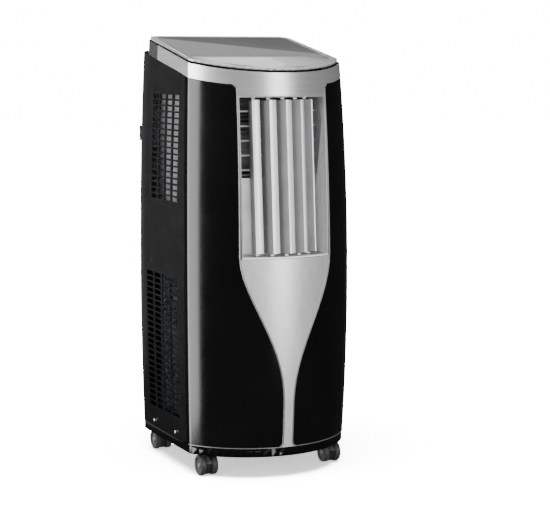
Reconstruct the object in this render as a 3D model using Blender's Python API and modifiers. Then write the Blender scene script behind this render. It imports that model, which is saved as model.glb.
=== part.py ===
"""A portable air conditioner on twin-wheel casters, modelled in metres with +Z up and the front towards -Y.

The cabinet's plan is a wide arc in front, two small front corners, straight sides and a flat rear. It
swells a little at mid-height, and every outer shell is read from that one surface.
"""

import math

import bmesh
import bpy
from mathutils import Matrix, Vector

# Overall sizes. The plan holds at the height where the swell is nil.
HALF_WIDTH = 0.152
BODY_DEPTH = 0.3324
LID_Z = 0.750
REAR_Y = 0.154
FRONT_Y = REAR_Y - BODY_DEPTH

# Cabinet plan
FRONT_RADIUS = 1.1645 * HALF_WIDTH
CORNER_RADIUS = 0.017
REAR_RADIUS = 0.016
SWELL = 0.034
SWELL_Z = 0.45 * LID_Z
SWELL_CURVE = 0.244 / LID_Z**2
WALL = 0.0025
GAP = 0.0004
CUT = 0.020
SEAM_BEHIND_CORNER = 0.0113
REAR_PANEL_HALF = HALF_WIDTH - 0.0235

# Base ring and the sloped lid
BASE_BOTTOM = 0.040
BASE_TOP = 0.0555
BASE_WALL = 0.004
LID_SLOPE = 0.1931
LID_THICKNESS = 0.004
LID_GAP = 0.0012
LID_REAR_Y = REAR_Y - 0.021
LID_INSET = 0.003
LID_REAR_RADIUS = 0.022
BEZEL_WIDTH = 0.011
GLASS_REAR_RADIUS = 0.014
GLASS_SPLIT_Y = FRONT_Y + 0.1274
GLASS_THICKNESS = 0.0022
BOARD_HALF = 0.070
BOARD_Y = (GLASS_SPLIT_Y - 0.079, GLASS_SPLIT_Y - 0.009)
BOARD_DROP = 0.012
BOARD_THICKNESS = 0.0016
BAND_HEIGHT = 0.0267
BAND_END_Y = REAR_Y - 0.088
BAND_STRAIGHT = 0.078

# Front insert shaped like a stemmed glass, and the air outlet above it
OUTLET_BOTTOM = LID_Z - 0.355
OUTLET_TOP = LID_Z - 0.078
STEM_HALF = 0.0094
STEM_TOP = 0.127
BOWL_HALF = 0.5724 * HALF_WIDTH
BOWL_TOP = OUTLET_BOTTOM + 0.002
BOWL_POWER = 1.2
OPENING_TAPER = 0.0095
PANEL_FILLET = 0.010
OUTLET_HALF = BOWL_HALF - 0.0055
OUTLET_FRAME_WALL = 0.0022
OUTLET_REAR_Y = FRONT_Y + 0.0804
INNER_WALL_TOP = OUTLET_TOP - 0.142
INNER_WALL_DEPTH = 0.045
INNER_WALL_THICKNESS = 0.002

# Outlet vanes, on an arc of pivots that is tighter than the front, and slats
VANE_COUNT = 5
VANE_ARC_RADIUS = 0.084
VANE_ARC_Y = FRONT_Y + 0.0981
VANE_STEP = math.radians(17.8)
VANE_TURN = math.radians(31.4)
VANE_LEAN = math.radians(3.9)
VANE_NOSE = 0.0144
VANE_NOSE_WIDTH = 0.0135
VANE_NOSE_EDGE = 0.001
VANE_WAIST = 0.0116
VANE_TAIL = 0.019
VANE_TAIL_WIDTH = 0.006
VANE_BOTTOM = OUTLET_BOTTOM + 0.005
VANE_TOP = OUTLET_TOP - 0.005
VANE_PIN = 0.0011
VANE_PIN_REACH = 0.003
SLAT_COUNT = 5
SLAT_TOP_Z = OUTLET_TOP - 0.0255
SLAT_PITCH = 0.0258
SLAT_CHORD = 0.018
SLAT_THICKNESS = 0.002
SLAT_CLEARANCE = 0.001
SLAT_Y = OUTLET_REAR_Y - 0.010

# Side grilles: the front edge's distance behind the seam, the rear edge, the bottom and the rows
GRILLE_COLUMNS = 4
GRILLE_BAR = 0.0042
ROW_PITCH = 0.0107
ROWS_PER_SLOT = 6
GRILLES = (
    (0.0295, REAR_Y - 0.0715, LID_Z - 0.265, 18),
    (0.0295, REAR_Y - 0.0480, BASE_BOTTOM + 0.0545, 24),
)

# Filters, coils and tray
FILTER_X = HALF_WIDTH - 0.028
FILTER_THICKNESS = 0.003
FILTER_Y = (REAR_Y - 0.204, REAR_Y - 0.0025)
FILTER_Z = (LID_Z - 0.272, LID_Z - 0.066)
FILTER_SLOT_PLAY = 0.0007
COIL_DEPTH = 0.022
EVAPORATOR_HALF = FILTER_X - 0.004
EVAPORATOR_Y = (REAR_Y - 0.204, REAR_Y - 0.054)
EVAPORATOR_Z = (LID_Z - 0.262, LID_Z - 0.068)
CONDENSER_HALF = HALF_WIDTH - 0.022
CONDENSER_Y = (REAR_Y - 0.204, REAR_Y - 0.019)
CONDENSER_Z = (0.062, 0.365)
TRAY_Z = LID_Z - 0.310
TRAY_HEIGHT = 0.022
TRAY_WALL = 0.003
TRAY_HALF = HALF_WIDTH - 0.034
TRAY_Y = (FRONT_Y + 0.0934, REAR_Y - 0.009)

# Blower, condenser fan and their motors
SCROLL_WALL = 0.002
INLET_SHARE = 0.62
BLOWER_CENTRE = (0.0, REAR_Y - 0.155, LID_Z - 0.150)
BLOWER_RADIUS = 0.058
BLOWER_WIDTH = 0.100
SCROLL_RADIUS = 0.071
SCROLL_WIDTH = 0.122
MOUTH_HALF = 0.056
MOUTH_DROP = 0.040
MOUTH_RISE = 0.055
MOUTH_DEPTH = 0.031
FAN_CENTRE = (0.0, REAR_Y - 0.109, 0.240)
FAN_RADIUS = 0.068
FAN_WIDTH = 0.044
FAN_SCROLL_RADIUS = 0.084
FAN_SCROLL_Y = (REAR_Y - 0.144, REAR_Y - 0.0028)
WHEEL_RIM = 0.010
WHEEL_WEB = 0.002
HUB_RADIUS = 0.012
HUB_HALF = 0.010
MOTOR_RADIUS = 0.030
BLOWER_MOTOR_LENGTH = 0.028
FAN_MOTOR_LENGTH = 0.026
SHAFT_RADIUS = 0.003
SHAFT_PLAY = 0.0005

# Compressor circuit and electrical box
COMPRESSOR_PLACE = (-0.020, FRONT_Y + 0.0624)
COMPRESSOR_RADIUS = 0.046
COMPRESSOR_HEIGHT = 0.200
ACCUMULATOR_PLACE = (0.052, FRONT_Y + 0.0664)
ACCUMULATOR_RADIUS = 0.018
ACCUMULATOR_HEIGHT = 0.130
TANK_BEVEL = 0.002
PIPE_RADIUS = 0.004
PIPE_BEND = 0.020
DISCHARGE_RISE = 0.070
SUCTION_REACH = 0.065
SUCTION_DROP = 0.015
ELECTRICAL_BOX = ((-0.055, FRONT_Y + 0.0384, 0.325), (0.035, FRONT_Y + 0.0804, 0.385))

BOX_BEVEL = 0.003

# Rear fittings
EXHAUST_RADIUS = 0.066
COLLAR_WALL = 0.007
COLLAR_REACH = 0.018
HOOK_X = HALF_WIDTH - 0.0185
HOOK_Z = LID_Z - 0.152
HOOK_REACH = BODY_DEPTH * (1 + SWELL) - 2 * REAR_Y
HOOK_HEIGHT = 0.028
HOOK_WIDTH = 0.010
HOOK_THICKNESS = 0.005
GLAND_PLACE = (-0.095, 0.110)
GLAND_RADIUS = 0.009
GLAND_LENGTH = 0.010
DRAIN_PLACE = (0.095, 0.075)
DRAIN_KNOB = (0.010, 0.008)
DRAIN_FLANGE = (0.013, 0.003)

# Casters
CASTER_X = HALF_WIDTH - 0.030
CASTER_YS = (FRONT_Y + 0.0744, REAR_Y - 0.031)
CASTER_TRAIL = 0.008
WHEEL_RADIUS = 0.0185
WHEEL_WIDTH = 0.0105
CASTER_WEB = 0.0050
AXLE_RADIUS = 0.003
WEB_CLEARANCE = 0.0015
WHEEL_PLAY = 0.0006
RIM_BEVEL = 0.002
NECK_REACH = 0.007
PLATE_RADIUS = 0.012
PLATE_THICKNESS = 0.0021

# Side screws
SCREW_YS = (REAR_Y - 0.1793, REAR_Y - 0.0713)
SCREW_Z = 0.066
SCREW_RADIUS = 0.0032
SCREW_HEAD = 0.0016

SIDES = (("left", -1), ("right", 1))
X_AXIS = (0, math.pi / 2, 0)
Y_AXIS = (-math.pi / 2, 0, 0)
Z_AXIS = (0, 0, 0)

PAINTS = {
    "gloss_black": ((0.012, 0.012, 0.013), 0.16, 0.0),
    "satin_black": ((0.018, 0.018, 0.019), 0.42, 0.0),
    "silver": ((0.62, 0.62, 0.63), 0.34, 0.75),
    "vane_silver": ((0.72, 0.72, 0.73), 0.40, 0.35),
    "duct_grey": ((0.36, 0.36, 0.37), 0.55, 0.0),
    "bezel_grey": ((0.48, 0.48, 0.49), 0.35, 0.6),
    "smoked_glass": ((0.10, 0.10, 0.105), 0.08, 0.0),
    "board_green": ((0.02, 0.12, 0.06), 0.55, 0.0),
    "fin_aluminium": ((0.55, 0.60, 0.60), 0.45, 0.8),
    "copper": ((0.72, 0.36, 0.20), 0.35, 1.0),
    "steel": ((0.45, 0.45, 0.46), 0.38, 1.0),
    "filter_grey": ((0.42, 0.43, 0.43), 0.75, 0.0),
    "rubber_black": ((0.02, 0.02, 0.02), 0.75, 0.0),
}


def clear_scene():
    for item in list(bpy.data.objects):
        bpy.data.objects.remove(item, do_unlink=True)


def new_collection(name, hidden=False):
    group = bpy.data.collections.new(name)
    group.hide_render = hidden
    bpy.context.scene.collection.children.link(group)
    return group


def paint(name):
    """The material of this name, made on first use."""
    found = bpy.data.materials.get(name)
    if found:
        return found
    colour, roughness, metallic = PAINTS[name]
    made = bpy.data.materials.new(name)
    made.use_nodes = True
    surface = made.node_tree.nodes["Principled BSDF"]
    surface.inputs["Base Color"].default_value = (*colour, 1)
    surface.inputs["Roughness"].default_value = roughness
    surface.inputs["Metallic"].default_value = metallic
    return made


def place(name, shape, paint_name, location=(0, 0, 0), rotation=Z_AXIS, parent=None):
    """Adds a part from a bmesh or from curve data."""
    if isinstance(shape, bmesh.types.BMesh):
        data = bpy.data.meshes.new(name)
        shape.to_mesh(data)
        shape.free()
    else:
        data = shape
    part = bpy.data.objects.new(name, data)
    part.location = location
    part.rotation_euler = rotation
    part.parent = parent
    data.materials.append(paint(paint_name))
    PARTS.objects.link(part)
    return part


def place_cutter(name, shape, location=(0, 0, 0), rotation=Z_AXIS, parent=None):
    data = bpy.data.meshes.new(name)
    shape.to_mesh(data)
    shape.free()
    cutter = bpy.data.objects.new(name, data)
    cutter.parent = parent
    cutter.location = location
    cutter.rotation_euler = rotation
    cutter.hide_render = True
    cutter.display_type = "WIRE"
    CUTTERS.objects.link(cutter)
    return cutter


def boolean(part, other, operation="DIFFERENCE"):
    modifier = part.modifiers.new(other.name, "BOOLEAN")
    modifier.operation = operation
    modifier.solver = "EXACT"
    modifier.object = other


def box_mesh(low, high):
    """A box between two corners."""
    shape = bmesh.new()
    add_box(shape, low, high)
    return shape


def add_box(shape, low, high):
    size = [b - a for a, b in zip(low, high)]
    middle = [(a + b) / 2 for a, b in zip(low, high)]
    matrix = Matrix.Translation(middle) @ Matrix.Diagonal((*size, 1))
    bmesh.ops.create_cube(shape, size=1, matrix=matrix)


def rod_mesh(radius, length, segments=24):
    """A cylinder along Z, centred on the origin."""
    shape = bmesh.new()
    add_rod(shape, radius, -length / 2, length / 2, segments)
    return shape


def add_rod(shape, radius, low, high, segments=24, turn=Z_AXIS):
    spin = Matrix.Rotation(turn[1], 4, "Y") @ Matrix.Rotation(turn[0], 4, "X")
    matrix = spin @ Matrix.Translation((0, 0, (low + high) / 2))
    bmesh.ops.create_cone(
        shape, cap_ends=True, segments=segments, radius1=radius, radius2=radius,
        depth=high - low, matrix=matrix,
    )


def turned(name, profile, paint_name, location, rotation=Z_AXIS, steps=32, parent=None):
    """A closed profile of (radius, height) turned about its own Z by a Screw modifier."""
    shape = bmesh.new()
    corners = [shape.verts.new((radius, 0, height)) for radius, height in profile]
    for first, second in zip(corners, corners[1:] + corners[:1]):
        shape.edges.new((first, second))
    part = place(name, shape, paint_name, location, rotation, parent)
    screw = part.modifiers.new("Screw", "SCREW")
    screw.steps = steps
    screw.render_steps = steps
    screw.use_merge_vertices = True
    screw.merge_threshold = 1e-5
    return part


def prism_mesh(outline, thickness):
    """An outline of (x, y) raised by a thickness along +Z."""
    shape = bmesh.new()
    face = shape.faces.new([shape.verts.new((x, y, 0)) for x, y in outline])
    raised = bmesh.ops.extrude_face_region(shape, geom=[face])
    tops = [item for item in raised["geom"] if isinstance(item, bmesh.types.BMVert)]
    bmesh.ops.translate(shape, verts=tops, vec=(0, 0, thickness))
    bmesh.ops.recalc_face_normals(shape, faces=shape.faces)
    return shape


def grid_mesh(columns):
    """An open surface through columns of points that run upwards, left to right from outside."""
    shape = bmesh.new()
    verts = [[shape.verts.new(point) for point in column] for column in columns]
    for left, right in zip(verts, verts[1:]):
        for low in range(len(left) - 1):
            shape.faces.new((left[low], right[low], right[low + 1], left[low + 1]))
    return shape


def shell(name, columns, paint_name, thickness=WALL):
    """A surface given its thickness inwards."""
    part = place(name, grid_mesh(columns), paint_name)
    solidify = part.modifiers.new("Solidify", "SOLIDIFY")
    solidify.thickness = thickness
    solidify.offset = -1
    solidify.use_even_offset = True
    return part


# The cabinet's surface


def swell(z):
    return 1 + SWELL - SWELL_CURVE * (z - SWELL_Z) ** 2


def arc_centre_y():
    return REAR_Y - BODY_DEPTH + FRONT_RADIUS


def corner_angle():
    """Where the front arc meets the front corner, as an angle from -Y."""
    reach = FRONT_RADIUS - CORNER_RADIUS
    return math.asin((HALF_WIDTH - CORNER_RADIUS) / reach)


def corner_y():
    """Where the side's straight stretch starts."""
    return arc_centre_y() - (FRONT_RADIUS - CORNER_RADIUS) * math.cos(corner_angle())


def seam_y():
    """Where the front panel ends and the side panel starts."""
    return corner_y() + SEAM_BEHIND_CORNER


def on_cabinet(x, y, z):
    """A plan point, moved to its place on the swelled surface at height z."""
    size = swell(z)
    return (x * size, REAR_Y + (y - REAR_Y) * size, z)


def front_point(angle):
    return (FRONT_RADIUS * math.sin(angle), arc_centre_y() - FRONT_RADIUS * math.cos(angle))


def angle_at(x, z):
    """The front arc's angle at a true x and height."""
    return math.asin(x / swell(z) / FRONT_RADIUS)


def front_at(x, z):
    """A point on the front, at a true x and height."""
    return Vector(on_cabinet(*front_point(angle_at(x, z)), z))


def corner_points(steps):
    centre = (HALF_WIDTH - CORNER_RADIUS, corner_y())
    start = corner_angle()
    turn = math.pi / 2 - start
    angles = [start + turn * step / steps for step in range(1, steps + 1)]
    return [
        (centre[0] + CORNER_RADIUS * math.sin(angle), centre[1] - CORNER_RADIUS * math.cos(angle))
        for angle in angles
    ]


def rear_corner_points(steps, rear_y=REAR_Y, radius=REAR_RADIUS, half_width=HALF_WIDTH):
    points = []
    for step in range(steps + 1):
        angle = math.pi / 2 * step / steps
        x = half_width - radius + radius * math.cos(angle)
        y = rear_y - radius + radius * math.sin(angle)
        points.append((x, y))
    return points


def plan_outline(front_steps=14, corner_steps=4):
    """The right half of the plan, from the front's middle to the start of the side."""
    last = corner_angle()
    points = [front_point(last * step / front_steps) for step in range(front_steps + 1)]
    return points + corner_points(corner_steps)


def lid_bottom(y):
    return LID_Z + LID_SLOPE * y


def band_bottom(y):
    return lid_bottom(y) - BAND_HEIGHT


def insert_half(z):
    """Half the silver insert's width: a stem that opens into a bowl, then the outlet's straight sides."""
    if z >= BOWL_TOP:
        return BOWL_HALF - OPENING_TAPER * (z - BOWL_TOP)
    share = max(0.0, (z - STEM_TOP) / (BOWL_TOP - STEM_TOP)) ** BOWL_POWER
    return STEM_HALF + (BOWL_HALF - STEM_HALF) * share * share * (3 - 2 * share)


def panel_edge(z, top):
    """Half the insert's width with the front panels' rounded inner corners."""
    low = min(1.0, max(0.0, (z - BASE_TOP) / PANEL_FILLET))
    high = min(1.0, max(0.0, (top - z) / PANEL_FILLET))
    rounding = sum(1 - math.sqrt(1 - (1 - share) ** 2) for share in (low, high))
    return insert_half(z) + PANEL_FILLET * rounding


def fillet_levels(edge, direction):
    """Heights that follow a rounded corner."""
    return [edge + direction * PANEL_FILLET * (1 - math.cos(turn)) for turn in (0, 0.55, 1.05, math.pi / 2)]


def inner_panel_top():
    """Height of a front panel's top beside the outlet."""
    return band_bottom(front_at(BOWL_HALF, OUTLET_TOP).y) - GAP


def front_levels():
    """Heights of the rings that make the front shells."""
    stem = fillet_levels(BASE_TOP + GAP, 1) + [STEM_TOP]
    steps = 12
    bowl = [STEM_TOP + (BOWL_TOP - STEM_TOP) * step / steps for step in range(2, steps + 1)]
    top = inner_panel_top()
    sides = [BOWL_TOP + (top - BOWL_TOP) * share for share in (0.34, 0.68)]
    return stem + bowl + sides + fillet_levels(top, -1)[::-1]


# Cabinet


def front_panel(side_name, side):
    top = inner_panel_top()
    bottom = BASE_TOP + GAP
    levels = front_levels()
    arc_steps = 6
    columns = []
    for step in range(arc_steps + 1):
        column = []
        for level in levels:
            inner = angle_at(panel_edge(level, top) + GAP, level)
            angle = inner + (corner_angle() - inner) * step / arc_steps
            column.append(raised_point(front_point(angle), level, bottom, top))
        columns.append(column)
    for point in corner_points(4) + [(HALF_WIDTH, seam_y())]:
        columns.append([raised_point(point, level, bottom, top) for level in levels])
    shell(f"front_panel_{side_name}", mirrored(columns, side), "gloss_black")


def raised_point(point, level, bottom, top):
    """A plan point at a level, stretched so that the top level meets the sloped band."""
    end = band_bottom(point[1]) - GAP
    height = bottom + (level - bottom) * (end - bottom) / (top - bottom)
    return on_cabinet(*point, height)


def mirrored(columns, side):
    """Columns of the right-hand side, or their mirror image, running left to right from outside."""
    if side > 0:
        return columns
    return [[(-x, y, z) for x, y, z in column] for column in reversed(columns)]


def side_panel(side_name, side):
    bottom = BASE_TOP + GAP
    steps = 7
    plan = [(HALF_WIDTH, seam_y() + GAP)] + rear_corner_points(4)
    columns = []
    for point in plan:
        end = band_bottom(point[1]) - GAP
        heights = [bottom + (end - bottom) * step / steps for step in range(steps + 1)]
        columns.append([on_cabinet(*point, height) for height in heights])
    columns.append([(REAR_PANEL_HALF + GAP, REAR_Y, point[2]) for point in columns[-1]])
    part = shell(f"side_panel_{side_name}", mirrored(columns, side), "gloss_black")
    cutter = place_cutter(f"{side_name}_grille_slots", grille_slots(side))
    boolean(part, cutter)


def grille_slots(side):
    """Boxes that cut both grilles of one side into their columns."""
    shape = bmesh.new()
    for behind_seam, end, bottom, rows in GRILLES:
        start = seam_y() + behind_seam
        pitch = (end - start) / GRILLE_COLUMNS
        for column in range(GRILLE_COLUMNS):
            low_y = start + pitch * column + GRILLE_BAR / 2
            for group in range(rows // ROWS_PER_SLOT):
                low_z = bottom + group * ROWS_PER_SLOT * ROW_PITCH + GRILLE_BAR / 2
                high_z = low_z + ROWS_PER_SLOT * ROW_PITCH - GRILLE_BAR
                near, far = sorted((side * (HALF_WIDTH - CUT / 2), side * (HALF_WIDTH + CUT)))
                add_box(shape, (near, low_y, low_z), (far, low_y + pitch - GRILLE_BAR, high_z))
    return shape


def rear_panel():
    low = (-REAR_PANEL_HALF, REAR_Y - WALL, BASE_TOP + GAP)
    high = (REAR_PANEL_HALF, REAR_Y, band_bottom(REAR_Y) - GAP)
    part = place("rear_panel", box_mesh(low, high), "satin_black")
    holes = bmesh.new()
    add_rod(holes, EXHAUST_RADIUS, -CUT, CUT, 32, Y_AXIS)
    bmesh.ops.translate(holes, verts=holes.verts, vec=(0, REAR_Y, FAN_CENTRE[2]))
    reach = FILTER_THICKNESS / 2 + FILTER_SLOT_PLAY
    for _, side in SIDES:
        near, far = sorted((side * FILTER_X - reach, side * FILTER_X + reach))
        low = (near, REAR_Y - CUT, FILTER_Z[0] - FILTER_SLOT_PLAY)
        add_box(holes, low, (far, REAR_Y + CUT, FILTER_Z[1] + FILTER_SLOT_PLAY))
    boolean(part, place_cutter("rear_holes", holes))


def rear_shoulder():
    """The ledge between the rear edge of the lid's rim and the top of the rear shell."""
    outer = offset_plan(rear_corner_points(4)[1:], -WALL - GAP)
    inner = offset_plan(rear_corner_points(4, LID_REAR_Y, LID_REAR_RADIUS)[1:], GAP)
    share = (inner[0][0] - outer[0][0]) / (inner[0][0] - inner[1][0])
    tip = (outer[0][0], inner[0][1] + (inner[1][1] - inner[0][1]) * share)
    right = [tip] + outer
    outline = right + [(-x, y) for x, y in reversed(right)]
    outline += [(-x, y) for x, y in inner[1:]] + inner[:0:-1]
    shape = sloped_plate(outline, lambda y: band_bottom(y) - GAP - WALL, lambda y: band_bottom(y) - GAP)
    place("rear_shoulder", shape, "satin_black")


def offset_plan(points, outwards):
    """Points of a rear corner at the rim's height, moved outwards."""
    moved = []
    for x, y in points:
        wide, deep, _ = on_cabinet(x, y, band_bottom(y))
        moved.append((wide + outwards, deep + outwards))
    return moved


def full_plan(height, inset, rear_y, rear_radius, front_steps=12, corner_steps=4):
    """The whole outline as (x, y), anticlockwise from above, at a height that depends on y."""
    right = plan_outline(front_steps, corner_steps)
    right += rear_corner_points(4, rear_y, rear_radius)
    points = []
    for x, y in right:
        sx, sy, _ = on_cabinet(x, y, height(y))
        points.append((max(sx - inset * x / HALF_WIDTH, 0), sy if y > 0 else sy + inset))
    left = [(-x, y) for x, y in reversed(points) if x > 1e-6]
    return points + left


def base_pan():
    outline = full_plan(lambda y: BASE_BOTTOM, 0, REAR_Y, REAR_RADIUS)
    tray = prism_mesh(outline, BASE_TOP - BASE_BOTTOM)
    part = place("base_pan", tray, "satin_black", (0, 0, BASE_BOTTOM))
    pocket = full_plan(lambda y: BASE_BOTTOM, BASE_WALL, REAR_Y - BASE_WALL, REAR_RADIUS)
    cutter = place_cutter("base_pocket", prism_mesh(pocket, BASE_TOP), (0, 0, BASE_BOTTOM + BASE_WALL))
    boolean(part, cutter)


def sloped_plate(outline, bottom, top):
    """A plate between two sloped planes, each a function of y."""
    shape = prism_mesh(outline, 1)
    for vert in shape.verts:
        vert.co.z = top(vert.co.y) if vert.co.z > 0.5 else bottom(vert.co.y)
    return shape


def silver_collar():
    """The band round the top, which comes down to the outlet in the middle of the front."""
    columns = []
    edge = insert_half(OUTLET_TOP)
    angles = [angle_at(x, OUTLET_TOP) for x in (0, edge / 3, edge * 2 / 3, edge - GAP)]
    least = OUTLET_TOP + OUTLET_FRAME_WALL + 2 * GAP
    bottoms = [least] * len(angles)
    for share in (0, 0.1, 0.35, 0.65, 1):
        x = edge + PANEL_FILLET * share
        angles.append(angle_at(x, OUTLET_TOP))
        drop = PANEL_FILLET * (1 - math.sqrt(1 - (1 - share) ** 2))
        bottoms.append(max(least, band_bottom(front_at(x, OUTLET_TOP).y) - drop))
    last = angles[-1]
    steps = 5
    for step in range(1, steps + 1):
        angles.append(last + (corner_angle() - last) * step / steps)
        bottoms.append(None)
    plan = [front_point(angle) for angle in angles] + corner_points(4)
    plan += [(HALF_WIDTH, BAND_END_Y - BAND_STRAIGHT), (HALF_WIDTH, BAND_END_Y)]
    bottoms += [None] * (len(plan) - len(bottoms))
    for point, bottom in zip(plan, bottoms):
        low = bottom or band_bottom(point[1])
        high = lid_bottom(point[1]) - LID_GAP
        columns.append([on_cabinet(*point, low + (high - low) * share) for share in (0, 0.5, 1)])
    whole = mirrored(columns, -1)[:-1] + columns
    shell("silver_collar", whole, "silver")


def rear_collar():
    """The black stretch of the rim behind the silver band."""
    plan = [(HALF_WIDTH, BAND_END_Y + GAP)] + rear_corner_points(4, LID_REAR_Y, LID_REAR_RADIUS)
    columns = []
    for point in plan:
        low = band_bottom(point[1])
        high = lid_bottom(point[1]) - LID_GAP
        columns.append([on_cabinet(*point, height) for height in (low, high)])
    whole = columns + mirrored(columns, -1)
    shell("rear_collar", whole, "satin_black")


def top_cover():
    outline = full_plan(lid_bottom, LID_INSET, LID_REAR_Y, LID_REAR_RADIUS)
    shape = sloped_plate(outline, lid_bottom, lambda y: lid_bottom(y) + LID_THICKNESS)
    part = place("top_cover", shape, "bezel_grey")
    recess = sloped_plate(
        glass_outline(0), lambda y: lid_bottom(y) + LID_THICKNESS - GLASS_THICKNESS,
        lambda y: lid_bottom(y) + CUT,
    )
    boolean(part, place_cutter("glass_recess", recess))


def glass_outline(extra):
    inset = LID_INSET + BEZEL_WIDTH + extra
    return full_plan(lid_bottom, inset, LID_REAR_Y - BEZEL_WIDTH - extra, GLASS_REAR_RADIUS)


def control_glass():
    """The smoked glass of the lid in two pieces: the display at the back, the touch strip in front."""
    outline = glass_outline(GAP)
    for name, keep_rear in (("display_glass", True), ("touch_strip", False)):
        shape = sloped_plate(
            outline, lambda y: lid_bottom(y) + LID_THICKNESS - GLASS_THICKNESS + GAP,
            lambda y: lid_bottom(y) + LID_THICKNESS,
        )
        part = place(name, shape, "smoked_glass")
        split, end = (GLASS_SPLIT_Y + GAP, -1) if keep_rear else (GLASS_SPLIT_Y - GAP, 1)
        low_y, high_y = sorted((split, end * 2 * BODY_DEPTH))
        low = (-2 * HALF_WIDTH, low_y, LID_Z - BODY_DEPTH)
        cutter = place_cutter(f"{name}_trim", box_mesh(low, (2 * HALF_WIDTH, high_y, LID_Z + BODY_DEPTH)))
        boolean(part, cutter)


def display_board():
    front, rear = BOARD_Y
    outline = [(-BOARD_HALF, front), (BOARD_HALF, front), (BOARD_HALF, rear), (-BOARD_HALF, rear)]
    below, above = -BOARD_DROP, BOARD_THICKNESS - BOARD_DROP
    shape = sloped_plate(outline, lambda y: lid_bottom(y) + below, lambda y: lid_bottom(y) + above)
    place("display_board", shape, "board_green")


def front_insert():
    """The silver glass shape between the two front panels."""
    end = OUTLET_BOTTOM - OUTLET_FRAME_WALL - GAP
    levels = [level for level in front_levels() if level < end - WALL] + [end]
    top = inner_panel_top()
    steps = 10
    columns = []
    for step in range(steps + 1):
        share = 2 * step / steps - 1
        columns.append([
            tuple(front_at((panel_edge(level, top) - GAP) * share, level)) for level in levels
        ])
    shell("front_insert", columns, "silver")


def outlet_frame():
    """The outlet's lip, sides and top, as a block with a curved front and the opening cut through it."""
    bottom = OUTLET_BOTTOM - OUTLET_FRAME_WALL
    top = OUTLET_TOP + OUTLET_FRAME_WALL
    half = OUTLET_HALF + OUTLET_FRAME_WALL - GAP
    across, up = 12, 4
    heights = [bottom + (top - bottom) * step / up for step in range(up + 1)]
    places = [half * (2 * step / across - 1) for step in range(across + 1)]
    front = [[tuple(front_at(x, z)) for z in heights] for x in places]
    rear = [[(x, OUTLET_REAR_Y, z) for z in heights] for x in places]
    part = place("outlet_frame", block_mesh(front, rear), "silver")
    low = (-OUTLET_HALF, -2 * BODY_DEPTH, OUTLET_BOTTOM)
    boolean(part, place_cutter("outlet_opening", box_mesh(low, (OUTLET_HALF, 0, OUTLET_TOP))))


def block_mesh(front, rear):
    """A solid between two grids of points that have the same columns and rows."""
    shape = bmesh.new()
    near = [[shape.verts.new(point) for point in column] for column in front]
    far = [[shape.verts.new(point) for point in column] for column in rear]
    last, top = len(near) - 1, len(near[0]) - 1
    for i in range(last):
        for j in range(top):
            shape.faces.new((near[i][j], near[i + 1][j], near[i + 1][j + 1], near[i][j + 1]))
            shape.faces.new((far[i][j], far[i][j + 1], far[i + 1][j + 1], far[i + 1][j]))
        shape.faces.new((near[i][0], far[i][0], far[i + 1][0], near[i + 1][0]))
        shape.faces.new((near[i][top], near[i + 1][top], far[i + 1][top], far[i][top]))
    for j in range(top):
        shape.faces.new((near[0][j], near[0][j + 1], far[0][j + 1], far[0][j]))
        shape.faces.new((near[last][j], far[last][j], far[last][j + 1], near[last][j + 1]))
    return shape


def inner_wall():
    """The light wall behind the lower half of the vanes."""
    radius = FRONT_RADIUS - INNER_WALL_DEPTH
    steps = 8
    last = math.asin((OUTLET_HALF - GAP) / radius)
    columns = []
    for step in range(steps + 1):
        angle = last * (2 * step / steps - 1)
        x = radius * math.sin(angle)
        y = arc_centre_y() - radius * math.cos(angle)
        columns.append([(x, y, OUTLET_BOTTOM + GAP), (x, y, INNER_WALL_TOP)])
    shell("inner_wall", columns, "duct_grey", INNER_WALL_THICKNESS)


def vanes():
    """Vertical vanes on leaning pivots, fanned out round the arc and all turned to one side."""
    middle = (VANE_BOTTOM + VANE_TOP) / 2
    length = (VANE_TOP - VANE_BOTTOM) / math.cos(VANE_LEAN)
    for index in range(VANE_COUNT):
        facing = (index - (VANE_COUNT - 1) / 2) * VANE_STEP
        x = VANE_ARC_RADIUS * math.sin(facing)
        spot = (x, VANE_ARC_Y - VANE_ARC_RADIUS * math.cos(facing), middle)
        part = place(f"vane_{index + 1}", vane_mesh(length), "vane_silver", spot)
        part.rotation_mode = "ZYX"
        part.rotation_euler = (-VANE_LEAN, 0, facing + VANE_TURN)
        pins = rod_mesh(VANE_PIN, length + 2 * VANE_PIN_REACH, 12)
        boolean(part, place_cutter(f"vane_pins_{index + 1}", pins, parent=part), "UNION")


def vane_mesh(length):
    """A thick blade along Z with a broad nose towards -Y and a narrow tail."""
    nose, waist, tail = VANE_NOSE_WIDTH / 2, VANE_WAIST / 2, VANE_TAIL_WIDTH / 2
    left = [
        (-tail, VANE_TAIL), (-waist, 0),
        (-nose, VANE_NOSE_EDGE - VANE_NOSE), (VANE_NOSE_EDGE - nose, -VANE_NOSE),
    ]
    outline = left + [(-x, y) for x, y in reversed(left)]
    shape = prism_mesh(outline, length)
    bmesh.ops.translate(shape, verts=shape.verts, vec=(0, 0, -length / 2))
    return shape


def slats():
    """Horizontal slats behind the vanes, each on a pivot along X."""
    half = OUTLET_HALF - SLAT_CLEARANCE
    for index in range(SLAT_COUNT):
        z = SLAT_TOP_Z - index * SLAT_PITCH
        low = (-half, -SLAT_CHORD / 2, -SLAT_THICKNESS / 2)
        high = (half, SLAT_CHORD / 2, SLAT_THICKNESS / 2)
        part = place(f"slat_{index + 1}", box_mesh(low, high), "vane_silver", (0, SLAT_Y, z))
        bevel = part.modifiers.new("Bevel", "BEVEL")
        bevel.width = SLAT_THICKNESS * 0.3
        bevel.segments = 1


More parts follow.
